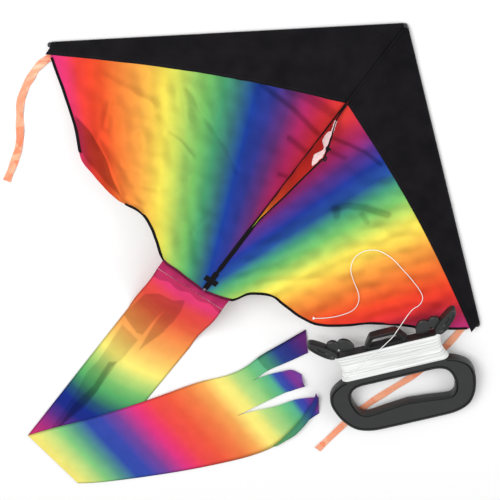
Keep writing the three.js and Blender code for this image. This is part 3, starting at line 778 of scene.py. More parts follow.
def dyed_cloth(name, stops, spread, roughness=0.6, crease_shade_range=(0.93, 1.03)):
    """Sublimated taffeta: a colour ramp along the dye mark, multiplied by the painted shade in the shade
    mark, and scaled within the crease shade range by the slow noise that also gives the small creases in
    the bump, a painted shade in their low places; the weave is in the bump too."""
    material, shader = new_material(name)
    place, dye, shade, scale, ramp, deepen, join = add_nodes(
        material, "TexCoord", "Attribute", "Attribute", "MapRange", "ValToRGB", "Mix"
    )
    crease, mottle, tone, join = add_nodes(material, "TexNoise", "Mix", "MapRange")
    dye.attribute_name, shade.attribute_name = "dye", "shade"
    dial(scale, From_Min=spread[0], From_Max=spread[1])
    join(dye.outputs["Fac"], scale.inputs["Value"])
    join(scale.outputs["Result"], ramp.inputs["Fac"])
    elements = ramp.color_ramp.elements
    for index, (at, colour) in enumerate(stops):
        share = (at - spread[0]) / (spread[1] - spread[0])
        element = elements[index] if index < 2 else elements.new(share)
        element.position = share
        element.color = tinted(*colour)
    for mix in (deepen, mottle):
        mix.data_type = "RGBA"
        mix.blend_type = "MULTIPLY"
        dial(mix, Factor=1)
    join(ramp.outputs["Color"], deepen.inputs["A"])
    join(shade.outputs["Fac"], deepen.inputs["B"])
    dial(crease, Scale=34, Detail=6)
    join(place.outputs["Object"], crease.inputs["Vector"])
    dial(tone, From_Min=0.3, From_Max=0.7, To_Min=crease_shade_range[0], To_Max=crease_shade_range[1])
    join(crease.outputs["Fac"], tone.inputs["Value"])
    join(deepen.outputs["Result"], mottle.inputs["A"])
    join(tone.outputs["Result"], mottle.inputs["B"])
    join(mottle.outputs["Result"], shader.inputs["Base Color"])
    weave_bump(material, shader, 0.0009, crease)
    dial(shader, Roughness=roughness, Specular_IOR_Level=0.06, Sheen_Weight=0.01)
    return material


# The dye runs in bands that fan out from beyond the tail: colour against distance across the bands.
sail_dye = {
    "left": [
        (-1.0, (226, 60, 45)), (-0.8, (205, 45, 60)), (-0.6, (178, 40, 100)), (-0.4, (97, 48, 118)),
        (-0.2, (48, 55, 142)), (0.0, (25, 62, 155)), (0.2, (54, 110, 118)), (0.4, (72, 156, 108)),
        (0.6, (112, 184, 97)), (0.8, (150, 196, 96)), (1.0, (203, 214, 90)), (1.2, (240, 220, 84)),
        (1.4, (241, 190, 76)), (1.6, (240, 160, 68)), (1.8, (238, 138, 60)), (2.0, (236, 114, 50)),
        (2.2, (234, 84, 42)), (2.4, (234, 70, 42)), (2.6, (232, 62, 56)), (2.8, (231, 56, 106)),
        (3.0, (231, 54, 128)),
    ],
    "right": [
        (-1.0, (232, 66, 48)), (-0.8, (208, 50, 64)), (-0.6, (172, 42, 104)), (-0.4, (90, 50, 137)),
        (-0.2, (32, 55, 150)), (0.0, (38, 80, 152)), (0.2, (72, 157, 117)), (0.4, (120, 194, 104)),
        (0.6, (184, 214, 98)), (0.8, (248, 230, 92)), (1.0, (246, 206, 80)), (1.2, (242, 164, 66)),
        (1.4, (239, 140, 58)), (1.6, (237, 116, 50)), (1.8, (235, 94, 44)), (2.0, (234, 70, 40)),
        (2.2, (232, 58, 44)), (2.4, (226, 52, 56)), (2.6, (196, 50, 76)), (2.8, (186, 46, 100)),
        (3.0, (190, 50, 120)),
    ],
}
# Painted shadows of the rods and folds behind the cloth, as seen through it: a line in millimetres, its half
# width in metres and its depth.
shadows = {
    "left": [
        ([(144, 401), (105, 400), (70, 398), (8, 387)], 0.0045, 0.42),
        ([(98, 422), (70, 431), (30, 434), (11, 434)], 0.008, 0.35),
        ([(45, 349), (9, 346)], 0.005, 0.4),
        ([(19, 280), (8, 285)], 0.004, 0.4),
        ([(65, 329), (27, 287)], 0.010, 0.1),
    ],
    "right": [
        ([(20, 396), (54, 402), (86, 406), (126, 402)], 0.0035, 0.42),
        ([(34, 372), (61, 376)], 0.004, 0.3),
        ([(108, 280), (124, 299), (156, 314), (200, 326)], 0.007, 0.42),
        ([(112, 283), (122, 270)], 0.006, 0.35),
        ([(160, 300), (178, 292)], 0.005, 0.3),
    ],
}
turned_under = smooth_curve(
    [(0.219, 0.058), (0.232, 0.066), (0.267, 0.087), (0.299, 0.112), (0.348, 0.137), (0.399, 0.151)], 80
)
ROLL_START_X = 0.219
ROLL_END_X = 0.345
ROLL_RADIUS = 0.0022
# Range of the crease shade on each sail, below the other dyed cloth's; the left's is lower still, a painted
# shade that offsets the stronger lamp over the left wing.
SAIL_SHADE_RANGE = {"left": (0.80, 0.92), "right": (0.86, 0.97)}


def dye_at(x, y):
    """Distance across the fanned dye bands, in steps that widen with the height up the spine."""
    return (x * 1000 + 5 - 390 * y) / (95 + 180 * y)


def painted_shade_behind(hand, x, y):
    """Painted shade: how bright the cloth is left by the rods and folds behind it, as a product of soft
    bands, darker still along the trailing edge and down the spine.
    """
    light = np.ones(np.shape(x))
    for line, width, depth in shadows[hand]:
        light = light * (1 - depth * np.clip(1.6 * near_line(x, y, line, width), 0, 1))
    light = light * (1 - 0.25 * np.exp(-(((trailing_y(hand, x) - y) / 0.006) ** 2)))
    return light * (1 - 0.35 * np.exp(-((x / 0.004) ** 2)))


for hand in ("left", "right"):
    x = np.linspace(FOLD_GAP, SAIL_END_X, 190)[:, None]
    share = np.linspace(0, 1, 140)[None]
    low, high = trailing_y(hand, x) + 0.001, panel_y(x) + 0.0006
    y = low + (high - low) * share
    x = np.broadcast_to(x, y.shape)
    level = CLOTH_LEVEL + billow(hand, x, y)
    # Painted shading: the cloth is lighter on one flank of each crease and darker on the other, by the slope
    # of its height.
    shading_slope = np.gradient(level, axis=0) / np.gradient(x, axis=0)
    shading_slope = shading_slope - np.gradient(level, axis=1) / np.gradient(y, axis=1)
    light = painted_shade_behind(hand, x, y) * np.clip(1 + 0.6 * shading_slope, 0.8, 1.08)
    if hand == "left":
        flap_y = np.interp(x[:, :1], turned_under[:, 0], turned_under[:, 1])
        beside = eased((x[:, :1] - 0.222) / 0.012) * eased((0.399 - x[:, :1]) / 0.02)
        # Painted shade: the cloth over the turned-under lobe is darkened, as if the doubled layer showed
        # through, but not near the trailing edge short of the fold's outer end.
        under_lobe_shade = beside * eased((flap_y - y) / 0.003 + 0.5)
        rim = eased((y - low) / 0.010 - 0.25) + (1 - eased((0.352 - x) / 0.02))
        light = light * (1 - 0.54 * under_lobe_shade * np.clip(rim, 0, 1))
        roll = eased((x[:, :1] - ROLL_START_X) / 0.015) * eased((ROLL_END_X - x[:, :1]) / 0.015)
        bend = np.linspace(0, math.pi, 9)[None, 1:]
        under = np.linspace(0, 1, 12)[None, 1:]
        edge_level = level[:, :1]
        bend_y = low - roll * ROLL_RADIUS * np.sin(bend)
        bend_level = edge_level - roll * ROLL_RADIUS * (1 - np.cos(bend))
        depth = np.maximum(flap_y - low, 0.004) * roll
        under_y = low + depth * under
        under_level = edge_level - 2 * ROLL_RADIUS * roll - 0.0004 * np.sin(7 * under) * roll
        fold_y = np.concatenate([bend_y, under_y], 1)[:, ::-1]
        fold_level = np.concatenate([bend_level, under_level], 1)[:, ::-1]
        fold_x = np.broadcast_to(x[:, :1], fold_y.shape)
        drop = 0.00005 * np.arange(fold_y.shape[1], 0, -1)[None]
        y = np.concatenate([fold_y - drop * (1 - roll), y], 1)
        x = np.concatenate([fold_x, x], 1)
        level = np.concatenate([fold_level, level], 1)
        light = np.concatenate([np.ones(fold_y.shape), light], 1)
    grid = on_wing(hand, x, y, level)
    marks = {"dye": dye_at(x, y), "shade": light}
    taffeta = dyed_cloth(f"{hand}_rainbow_taffeta", sail_dye[hand], (-1.0, 3.2), 0.62, SAIL_SHADE_RANGE[hand])
    sail = cloth_piece(
        f"{hand}_sail_cloth", [(grid, np.stack([x, y], 2), marks)], taffeta, f"{hand}_wing",
        (f"{hand}_sail",),
    )

# Black leading panels.
# One long panel of black taffeta for each wing. Its outer edge turns over the rod sleeve, its inner
# edge is folded and topstitched over the sail, and a doubled patch of the same cloth covers the nose.
WRAP_RADIUS = 0.0052
HEM_LAP = 0.0035
SEAM_RISE = 0.0009
PANEL_START_X = 0.0022
PANEL_END_X = 0.4975
PATCH_START_X = 0.0034
PATCH_FOOT_Y = 0.604
PATCH_HEAD_Y = 0.6405


def band(edge_a, edge_b, above, thickness, marks=None, sides=12):
    """A bound edge: at each step, a flattened oval between two edge points, thick along the normal."""
    across, centre = (edge_b - edge_a) / 2, (edge_a + edge_b) / 2
    turn = np.linspace(0, 2 * math.pi, sides, endpoint=False)[None, :, None]
    flat_cos = np.sign(np.cos(turn)) * np.abs(np.cos(turn)) ** 0.6
    flat_sin = np.sign(np.sin(turn)) * np.abs(np.sin(turn)) ** 0.6
    above = np.broadcast_to(above, centre.shape)
    return skin(centre[:, None] + across[:, None] * flat_cos + above[:, None] * flat_sin * thickness / 2)


def stitch_row(path, lean, spacing, size):
    """Short slanting thread ends along a path: one low oval for each stitch, from one shape moved."""
    length = np.concatenate([[0], np.cumsum(np.linalg.norm(np.diff(path, axis=0), axis=1))])
    at = np.arange(spacing / 2, length[-1], spacing)
    place = np.stack([np.interp(at, length, path[:, k]) for k in range(3)], 1)
    run = np.stack([np.interp(at, length, np.gradient(path[:, k], length)) for k in range(3)], 1)
    run, above = unit(run), unit(np.broadcast_to(lean, place.shape))
    beside = np.cross(run, above)
    reach = np.array([-1, -0.7, 0, 0.7, 1])
    girth = np.array([0.3, 0.8, 1, 0.8, 0.3])
    turn = np.linspace(0, 2 * math.pi, 5, endpoint=False)
    ring_x = reach[:, None] * np.ones(5)
    ring_y, ring_z = girth[:, None] * np.cos(turn), girth[:, None] * np.sin(turn)
    shape = np.stack([ring_x * spacing * 0.36, ring_y * size, ring_z * size * 0.7], 2)
    skins = []
    for centre, ahead, side, up in zip(place, run, beside, above):
        skins.append(skin(centre + shape @ np.stack([ahead, side, up])))
    return skins


black_thread = plain_cloth("black_thread", (52, 50, 55), 0.5)
for hand in ("left", "right"):
    above = wing_axes[hand][1]
    x = np.linspace(PANEL_START_X, PANEL_END_X, 150)[:, None]
    share = np.linspace(0, 1, 46)[None]
    low, high = panel_y(x) - HEM_LAP, leading_y(x)
    y = low + (high - low) * share
    flat_x = np.broadcast_to(x, y.shape)
    seam = eased(share / 0.05)
    fold = 0.0012 * near_line(flat_x, y, [(289, 404), (215, 397), (150, 372)], 0.005)
    level = CLOTH_LEVEL + billow(hand, flat_x, y) * eased((high - y) / 0.03)
    level = level + SEAM_RISE * (1 - 0.8 * seam) + fold
    turn = np.linspace(0, 0.62 * math.pi, 9)[None, 1:]
    out_x, out_y = LEADING_DROP / EDGE_LENGTH, WING_REACH / EDGE_LENGTH
    top = level[:, -1:]
    wrap_x = x + WRAP_RADIUS * np.sin(turn) * out_x
    wrap_y = high + WRAP_RADIUS * np.sin(turn) * out_y
    wrap_level = top - CLOTH_LEVEL * (1 - np.cos(turn))
    x_all = np.concatenate([flat_x, wrap_x], 1)
    y_all = np.concatenate([y, wrap_y], 1)
    level_all = np.concatenate([level, wrap_level], 1)
    grid = on_wing(hand, x_all, y_all, level_all)
    panel = cloth_piece(
        f"{hand}_leading_panel_cloth", [(grid, np.stack([x_all, y_all], 2), {})], black_cloth,
        f"{hand}_wing", (f"{hand}_leading_panel",),
    )
    hem_x = np.linspace(0.006, 0.484, 300)
    rows = []
    for inset in (0.0008, 0.0055):
        hem_y = panel_y(hem_x) - HEM_LAP + inset
        hem_level = CLOTH_LEVEL + billow(hand, hem_x, hem_y) + SEAM_RISE * 0.9 + 0.0004
        rows += stitch_row(on_wing(hand, hem_x, hem_y, hem_level), above, 0.0042, 0.00028)
    new_piece(f"{hand}_panel_topstitch", rows, black_thread, f"{hand}_wing")

    across = np.linspace(0, 1, 26)[:, None]
    up = np.linspace(0, 1, 24)[None]
    patch_y = PATCH_FOOT_Y + (PATCH_HEAD_Y - PATCH_FOOT_Y) * up
    edge_x = np.minimum((SPINE_LENGTH - patch_y) * WING_REACH / LEADING_DROP, 0.043)
    patch_x = PATCH_START_X + across * (edge_x + 0.005 - PATCH_START_X)
    patch_y = np.broadcast_to(patch_y, patch_x.shape)
    patch_level = CLOTH_LEVEL + 0.0009 + 0.0002 * np.sin(across * 9) * np.sin(up * 7)
    grid = on_wing(hand, patch_x, patch_y, np.broadcast_to(patch_level, patch_x.shape))
    cloth_piece(
        f"{hand}_nose_patch_cloth", [(grid, np.stack([patch_x, patch_y], 2), {})], black_cloth,
        f"{hand}_wing", (f"{hand}_nose_patch",), 0.0007,
    )

# Spine seam and end tab.
# A black tape runs down the middle on the keel side, over the join of the two wings, and a cross of
# webbing at the tail end closes the spine sleeve. Both are topstitched.
tape_y = np.linspace(0.044, 0.636, 160)
tape_half = 0.0022 + 0.0016 * eased((0.2 - tape_y) / 0.05) * eased((tape_y - 0.05) / 0.01)
tape_level = CLOTH_LEVEL + 0.0009 + 0.0003 * np.sin(tape_y * 130)
tape_edges = [on_wing(hand, tape_half, tape_y, tape_level) for hand in ("left", "right")]
kite_up = unit(np.cross(RIGHTWARDS, -towards_tail))
new_piece("spine_tape", [band(*tape_edges, kite_up, 0.0013)], black_cloth, "spine")
TAB_MIDDLE_Y = 0.028
tab_corners = np.array([(-5.5, -20), (5.5, -20), (5.5, -5.5), (14, -5.5), (14, 5.5), (5.5, 5.5), (5.5, 20),
                        (-5.5, 20), (-5.5, 5.5), (-14, 5.5), (-14, -5.5), (-5.5, -5.5)]) / 1000
tab_cuts = [tab_corners * 0.94 + 0.06 * np.roll(tab_corners, way, 0) for way in (1, -1)]
tab_outline = np.stack(tab_cuts, 1).reshape(-1, 2)
shares = np.array([0.02, 0.35, 0.7, 0.93, 1, 1, 0.93, 0.7, 0.35, 0.02])[:, None, None]
heights = np.array([8, 8, 8, 6, 3, -3, -5, -5, -5, -5])[:, None, None] * 0.0001
tab_flat = tab_outline[None] * shares
tab_height = np.broadcast_to(heights, (*tab_flat.shape[:2], 1)) + 0.0002 * np.sin(tab_flat[..., :1] * 500)
tab_points = (
    nose + towards_tail * (SPINE_LENGTH - TAB_MIDDLE_Y - tab_flat[..., 1:])
    + RIGHTWARDS * tab_flat[..., :1] + kite_up * (CLOTH_LEVEL + 0.0004 + tab_height)
)
black_webbing = plain_cloth("black_webbing", (18, 16, 19), 0.75, 0.0016)
new_piece(
    "spine_end_cross", [skin(tab_points)], black_webbing, "spine", ("spine_end_tab",),
    sharp_degrees=50,
)

# Trailing binding.
# Black bias tape folded over the raw trailing edge and sewn through, from the tail out to each tip. It
# goes out of sight under the left wing's turned lobe.
BINDING_WIDTH = 0.005
TAIL_REACH = {"left": 0.097, "right": 0.054}


def sideways(curve):
    """Unit normals of a plane curve: its run turned a quarter to the left."""
    run = unit(np.gradient(curve, axis=0))
    return np.stack([-run[:, 1], run[:, 0]], 1)


for hand in ("left", "right"):
    above = wing_axes[hand][1]
    curve = edge_curve[hand]
    curve = curve[(curve[:, 0] > TAIL_REACH[hand]) & (curve[:, 0] < 0.4865)]
    square = sideways(curve)
    hidden = np.zeros(len(curve))
    if hand == "left":
        hidden = eased((curve[:, 0] - 0.217) / 0.012) * eased((0.348 - curve[:, 0]) / 0.012)
    outer = curve - square * 0.0008 + square * (0.007 * hidden)[:, None]
    inner = curve + square * BINDING_WIDTH + square * (0.007 * hidden)[:, None]
    level = CLOTH_LEVEL + billow(hand, curve[:, 0], curve[:, 1]) - 0.0042 * hidden
    edges = [on_wing(hand, side[:, 0], side[:, 1], level) for side in (outer, inner)]
    new_piece(
        f"{hand}_trailing_tape", [band(*edges, above, 0.0016)], black_webbing, f"{hand}_wing",
        (f"{hand}_trailing_binding",),
    )

# Keel.
# A fin of the red end of the dyed cloth, sewn along the spine and bound with black tape round its free
# edge. It leans and bellies to the left. A white crinkled patch doubles it on each side where the line
# is tied, and a small loop of black cord, knotted under it, takes the line.
KEEL_LEAN = math.radians(4)
KEEL_FRONT_Y = 0.47
KEEL_REAR_Y = 0.166
KEEL_BELLY = 0.011
KEEL_HEIGHT = 0.09
keel_up = math.sin(KEEL_LEAN) * RIGHTWARDS + math.cos(KEEL_LEAN) * kite_up
keel_left = np.cross(keel_up, -towards_tail)
keel_left = keel_left * -np.sign(keel_left[0])
keel_front = [(0.004, 0.47), (0.0135, 0.43), (0.054, 0.408), (0.09, 0.381)]
keel_rear = [(0.09, 0.381), (0.0684, 0.33), (0.045, 0.265), (0.0216, 0.213), (0.004, 0.166)]
keel_edge = np.concatenate([smooth_curve(keel_rear[::-1], 90), smooth_curve(keel_front[::-1], 50)[1:]])
keel_span = np.linspace(0, 1, len(keel_edge))


def on_keel(share, rise, edge=None, lift=0.0):
    """Points on the keel: share runs from its rear foot to its front foot, and rise from the spine to
    the free edge. It bellies to the left as a sine of rise, most in the middle of its length."""
    edge = keel_edge if edge is None else edge
    h = np.interp(share, keel_span, edge[:, 0]) * rise
    edge_y = np.interp(share, keel_span, edge[:, 1])
    foot_y = KEEL_REAR_Y + (KEEL_FRONT_Y - KEEL_REAR_Y) * share
    y = foot_y + (edge_y - foot_y) * rise
    deepest = np.minimum(KEEL_BELLY, 0.13 * np.interp(share, keel_span, edge[:, 0]))
    belly = deepest * np.sin(math.pi * np.clip(rise, 0, 1)) * np.sin(math.pi * share) ** 0.5
    belly = belly + 0.0009 * np.sin(38 * share + 5 * rise) * np.sin(math.pi * rise)
    h, y, aside = h[..., None], y[..., None], (belly + lift)[..., None]
    foot = nose + towards_tail * (SPINE_LENGTH - y) + kite_up * (CLOTH_LEVEL + 0.0012)
    return foot + keel_up * h + keel_left * aside


keel_dye = [
    (0.13, (20, 50, 90)), (0.15, (50, 100, 50)), (0.17, (100, 140, 45)), (0.187, (196, 178, 48)),
    (0.20, (220, 140, 40)), (0.222, (205, 92, 34)), (0.25, (184, 56, 30)), (0.30, (176, 38, 28)),
    (0.40, (168, 30, 26)), (0.47, (140, 28, 28)),
]
share, rise = np.meshgrid(np.linspace(0, 1, 130), np.linspace(0.0, 0.985, 36), indexing="ij")
keel_grid = on_keel(share, rise)
keel_y = SPINE_LENGTH - (keel_grid - nose) @ towards_tail
# Painted shade: the keel darkens towards its foot on the sail, and faint bands along it, stronger towards the
# free edge, darken and lighten it.
keel_shade = 1 - 0.3 * np.exp(-((rise / 0.12) ** 2)) - 0.08 * np.sin(30 * share + 3 * rise) * rise
keel_cloth = dyed_cloth("keel_taffeta", keel_dye, (0.12, 0.48))
keel_sheet = cloth_piece(
    "keel_cloth",
    [(keel_grid, np.stack([keel_y, rise * KEEL_HEIGHT], 2), {"dye": keel_y, "shade": keel_shade})],
    keel_cloth, "keel", ("keel_panel",),
)
along = np.linspace(0, 1, 220)
tape_in = np.clip(1 - 0.0030 / np.maximum(np.interp(along, keel_span, keel_edge[:, 0]), 0.008), 0.4, 1)
keel_tape_edges = [on_keel(along, tape_in), on_keel(along, np.full(220, 1.01))]
new_piece(
    "keel_tape", [band(*keel_tape_edges, keel_left, 0.0017)], black_webbing, "keel",
    ("keel_binding",),
)

# Patch outline as (share along the keel, rise on it): the inner edge nips in where the knot pulls. Past 0.8
# along, the patch is only a thin white strip by the edge, which stands in for a highlight there: a painted
# highlight.
patch_share = np.linspace(0.545, 0.88, 60)
patch_inner = np.interp(
    patch_share,
    [0.545, 0.57, 0.61, 0.65, 0.68, 0.70, 0.72, 0.75, 0.785, 0.81, 0.88],
    [0.90, 0.80, 0.70, 0.74, 0.84, 0.86, 0.60, 0.56, 0.70, 0.90, 0.92],
)
patch_outer = np.full(60, 0.955) - 0.02 * np.sin(patch_share * 60) ** 2
white_patch = plain_cloth("white_ripstop", (236, 205, 205), 0.5, 0.0022)
across = np.linspace(0, 1, 22)[None]
patch_rise = patch_inner[:, None] + (patch_outer - patch_inner)[:, None] * across
patch_along = np.broadcast_to(patch_share[:, None], patch_rise.shape)
crinkle = np.abs(np.sin(patch_along * 170 + 4 * across)) * np.abs(np.cos(across * 6 + patch_along * 60))
for hand, turn in (("left", 1), ("right", -1)):
    lift = turn * (0.0009 + 0.0022 * crinkle * np.sin(math.pi * across) ** 0.5)
    grid = on_keel(patch_along, patch_rise, lift=lift)
    flat = np.stack([patch_along * 0.3, patch_rise * KEEL_HEIGHT], 2)
    patch = cloth_piece(
        f"{hand}_keel_patch_cloth", [(grid, flat, {})], white_patch, "keel",
        (f"{hand}_keel_patch",), 0.0004,
    )
tow_middle = middle("tow_loop")
loop_turn = np.linspace(0.13 * math.pi, 1.87 * math.pi, 60)
loop_track = tow_middle + 0.0046 * (
    -np.cos(loop_turn)[:, None] * keel_up * 1.15 - np.sin(loop_turn)[:, None] * towards_tail * 0.85
)
black_cord = plain_cloth("black_cord", (24, 22, 24), 0.6, 0.0006)
knot_place = on_keel(np.array(0.705), np.array(1.0))
new_piece(
    "tow_loop_cord",
    [skin(tube_rings(loop_track, 0.0012, keel_left, 10)), overhand_knot(knot_place, 0.0046, 0.0015)],
    black_cord, "keel", ("tow_loop",),
)

# Ribbon tail.
# One wide ribbon of the dyed cloth with rolled edges, sewn under the trailing edge on a dark hem. It
# drops to the floor and runs out behind. It is folded over on a crease, so that its far end, slit into
# three pointed tongues, comes back beside the kite. The shade of its own folded layers behind it is
# painted on it, and its tongues are painted darker where they twist, curl at the tip and lie beside
# the turned-back flap, which is painted darker too.
FLOOR_LEVEL = 0.0009
LOWER_LEVEL = 0.0025
SEAM_GAP = 0.001
TAIL_WIDTH = 0.151
HEM_LENGTH = 0.009
TAIL_SPREAD = {"left": (-0.097, -0.004), "right": (0.054, 0)}
LANDING_SHIFT = 0.019
LANDING = 0.15
CREASE_Y = {"left": -0.5765, "right": -0.6185}


def beside_spine(x, y, z):
    """A point x across, y up and z above the spine's foot, in the row frame."""
    return nose + towards_tail * (SPINE_LENGTH - y) + RIGHTWARDS * x + kite_up * z


hem_far = {hand: beside_spine(x, -0.003 - HEM_LENGTH, z) for hand, (x, z) in TAIL_SPREAD.items()}
hem_across = np.linspace(0, 1, 90)
hem_x = TAIL_SPREAD["left"][0] + (TAIL_SPREAD["right"][0] - TAIL_SPREAD["left"][0]) * hem_across
hem_near = np.zeros((90, 3))
for hand, turn in (("left", -1), ("right", 1)):
    out = np.maximum(turn * hem_x, FOLD_GAP)
    edge_y = trailing_y(hand, out) + 0.0015
    on_side = on_wing(hand, out, edge_y, CLOTH_LEVEL - 0.0017 + billow(hand, out, edge_y))
    hem_near = np.where((turn * hem_x > 0)[:, None], on_side, hem_near)
hem_far_line = hem_far["left"] + (hem_far["right"] - hem_far["left"]) * hem_across[:, None]
hem_fall = np.linspace(0, 1, 12)[None, :, None]
hem_grid = hem_near[:, None] + (hem_far_line - hem_near)[:, None] * hem_fall
hem_grid = hem_grid + kite_up * 0.0006 * np.sin(hem_across * 23)[:, None, None] * np.sin(math.pi * hem_fall)
hem_flat = np.stack(np.broadcast_arrays(hem_across[:, None] * TAIL_WIDTH, hem_fall[..., 0] * 0.014), 2)
hem_dark = 1 - 0.15 * np.sin(hem_across * 31)[:, None] * hem_fall[..., 0]
hem_dye = [(0.0, (150, 34, 78)), (0.5, (165, 40, 88)), (1.0, (176, 44, 96))]
hem_cloth = dyed_cloth("tail_hem_taffeta", hem_dye, (0.0, 1.0), 0.65)
hem_marks = {"dye": np.broadcast_to(hem_fall[..., 0], hem_dark.shape), "shade": hem_dark}
cloth_piece(
    "tail_hem_cloth", [(hem_grid, hem_flat, hem_marks)], hem_cloth, "spine", ("tail_hem",),
    0.0009,
)
hem_purple = plain_cloth("hem_tape", (92, 18, 50), 0.65)
for hand in ("left", "right"):
    above = wing_axes[hand][1]
    curve = edge_curve[hand]
    curve = curve[(curve[:, 0] > 0.0024) & (curve[:, 0] < TAIL_REACH[hand] + 0.0012)]
    square = sideways(curve)
    outer, inner = curve - square * 0.0014, curve + square * 0.0042
    level = CLOTH_LEVEL + 0.0002 + billow(hand, curve[:, 0], curve[:, 1])
    edges = [on_wing(hand, side[:, 0], side[:, 1], level) for side in (outer, inner)]
    seam = band(*edges, above, 0.0017)
    new_piece(f"{hand}_tail_seam_tape", [seam], hem_purple, f"{hand}_wing")

upper_dye = [
    (-0.62, (222, 60, 100)), (-0.59, (222, 60, 100)), (-0.565, (205, 50, 115)), (-0.52, (150, 45, 125)),
    (-0.492, (85, 45, 130)), (-0.462, (28, 42, 132)), (-0.436, (22, 44, 134)), (-0.41, (38, 84, 110)),
    (-0.392, (60, 130, 98)), (-0.37, (84, 168, 100)), (-0.344, (122, 188, 106)), (-0.314, (186, 214, 116)),
    (-0.284, (250, 234, 118)), (-0.255, (243, 203, 104)), (-0.225, (242, 170, 88)), (-0.19, (236, 140, 74)),
    (-0.15, (234, 100, 64)), (-0.11, (235, 76, 64)), (-0.082, (234, 72, 70)), (-0.064, (230, 64, 92)),
    (-0.048, (224, 58, 112)),
]
# Painted shade of the folded layers behind the upper length, as outlines on the floor in millimetres and the
# light they leave.
shade_behind_tail = [
    ([(-123, -123), (-105, -92), (-76, -85), (-61, -66), (-47, -104), (-37, -152), (-38, -192),
      (-54, -257), (-59, -221), (-69, -137), (-68, -187), (-68, -221), (-80, -224), (-104, -214),
      (-124, -204), (-121, -156)], 0.66),
    ([(-114, -225), (-69, -237), (-69, -295), (-78, -327), (-68, -396), (-84, -530), (-96, -527),
      (-100, -433), (-110, -368), (-107, -324)], 0.74),
    ([(-88, -318), (-74, -307), (-68, -396), (-68, -440), (-85, -528), (-90, -448), (-82, -385)], 0.6),
]


def within(x, y, outline, softness):
    """1 inside a closed outline and 0 outside, softened by the distance to its nearest side: a point is
    inside when a line from it crosses the sides an odd number of times."""
    closed = outline + outline[:1]
    nearest = distance_to(x, y, closed)
    closed = np.array(closed, float) / 1000
    odd = np.zeros(np.shape(x), bool)
    for (ax, ay), (bx, by) in zip(closed[:-1], closed[1:]):
        crossing_x = ax + (y - ay) / np.where(by == ay, 1e-9, by - ay) * (bx - ax)
        odd ^= ((ay > y) != (by > y)) & (x < crossing_x)
    return eased(0.5 + np.where(odd, nearest, -nearest) / softness / 2)


def tail_edge(hand, drop):
    """One edge of the upper length: from the hem it eases down to the floor, then runs straight to the
    crease. Drop is 0 at the hem, 1 at the landing and 2 at the crease."""
    root = hem_far[hand] + np.array([0, -SEAM_GAP, 0])
    landing = root + np.array([LANDING_SHIFT, -LANDING, 0])
    share = np.clip(drop, 0, 1)[:, None]
    point = root + (landing - root) * share
    point[:, 2:] = root[2] + (FLOOR_LEVEL - root[2]) * eased(share)
    run = np.clip(drop - 1, 0, 1)[:, None]
    crease = np.array([landing[0], CREASE_Y[hand] + 0.0012, FLOOR_LEVEL])
    landed = np.array([landing[0], landing[1], FLOOR_LEVEL])
    return np.where(drop[:, None] <= 1, point, landed + (crease - landed) * run)


drop = np.concatenate([np.linspace(0, 1, 90), np.linspace(1, 2, 150)[1:]])
left_edge, right_edge = tail_edge("left", drop), tail_edge("right", drop)
across = np.linspace(0, 1, 80)[None, :, None]
upper_grid = left_edge[:, None] + (right_edge - left_edge)[:, None] * across
x, y = upper_grid[..., 0], upper_grid[..., 1]
side_share = np.broadcast_to(across[..., 0], x.shape)
airy = np.clip(1.0 - drop, 0, 1)[:, None]
wave = 0.0045 * np.sin(math.pi * airy) * np.sin(side_share * 8.5 + 14 * y)
wave = wave + 0.0011 * np.sin(side_share * 5 + y * 31)
wave = wave * eased(airy / 0.2 + 0.35) * eased(drop[:, None] / 0.12)
wave = wave * np.sin(math.pi * np.clip(side_share, 0.03, 0.97))
upper_grid[..., 2] += np.maximum(wave, -0.0002)
hem_roll = np.minimum(side_share, 1 - side_share) * TAIL_WIDTH
rolled = np.exp(-((hem_roll / 0.0032) ** 4))
upper_grid[..., 2] += 0.0004 * rolled
light = 1 - 0.42 * rolled
for outline, left_light in shade_behind_tail:
    light = light * (1 - (1 - left_light) * within(x, y, outline, 0.002))
# Painted shade where the upper length lies doubled just below the hem.
doubled = 0.007 + 0.014 * (1 - side_share) ** 1.5 + 0.003 * np.sin(side_share * 21)
light = light * (1 - 0.36 * eased((doubled - (hem_far["left"][1] - y)) / 0.003 + 0.5))
upper_cloth = dyed_cloth("upper_tail_taffeta", upper_dye, (-0.62, -0.04))
lag = -0.012 * np.sin(math.pi * side_share)
upper_flat = np.stack([side_share * TAIL_WIDTH, y], 2)
upper_tail = cloth_piece(
    "tail_upper_cloth", [(upper_grid, upper_flat, {"dye": y - lag, "shade": light})], upper_cloth, None,
    ("tail_upper_length",),
)
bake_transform(upper_tail)

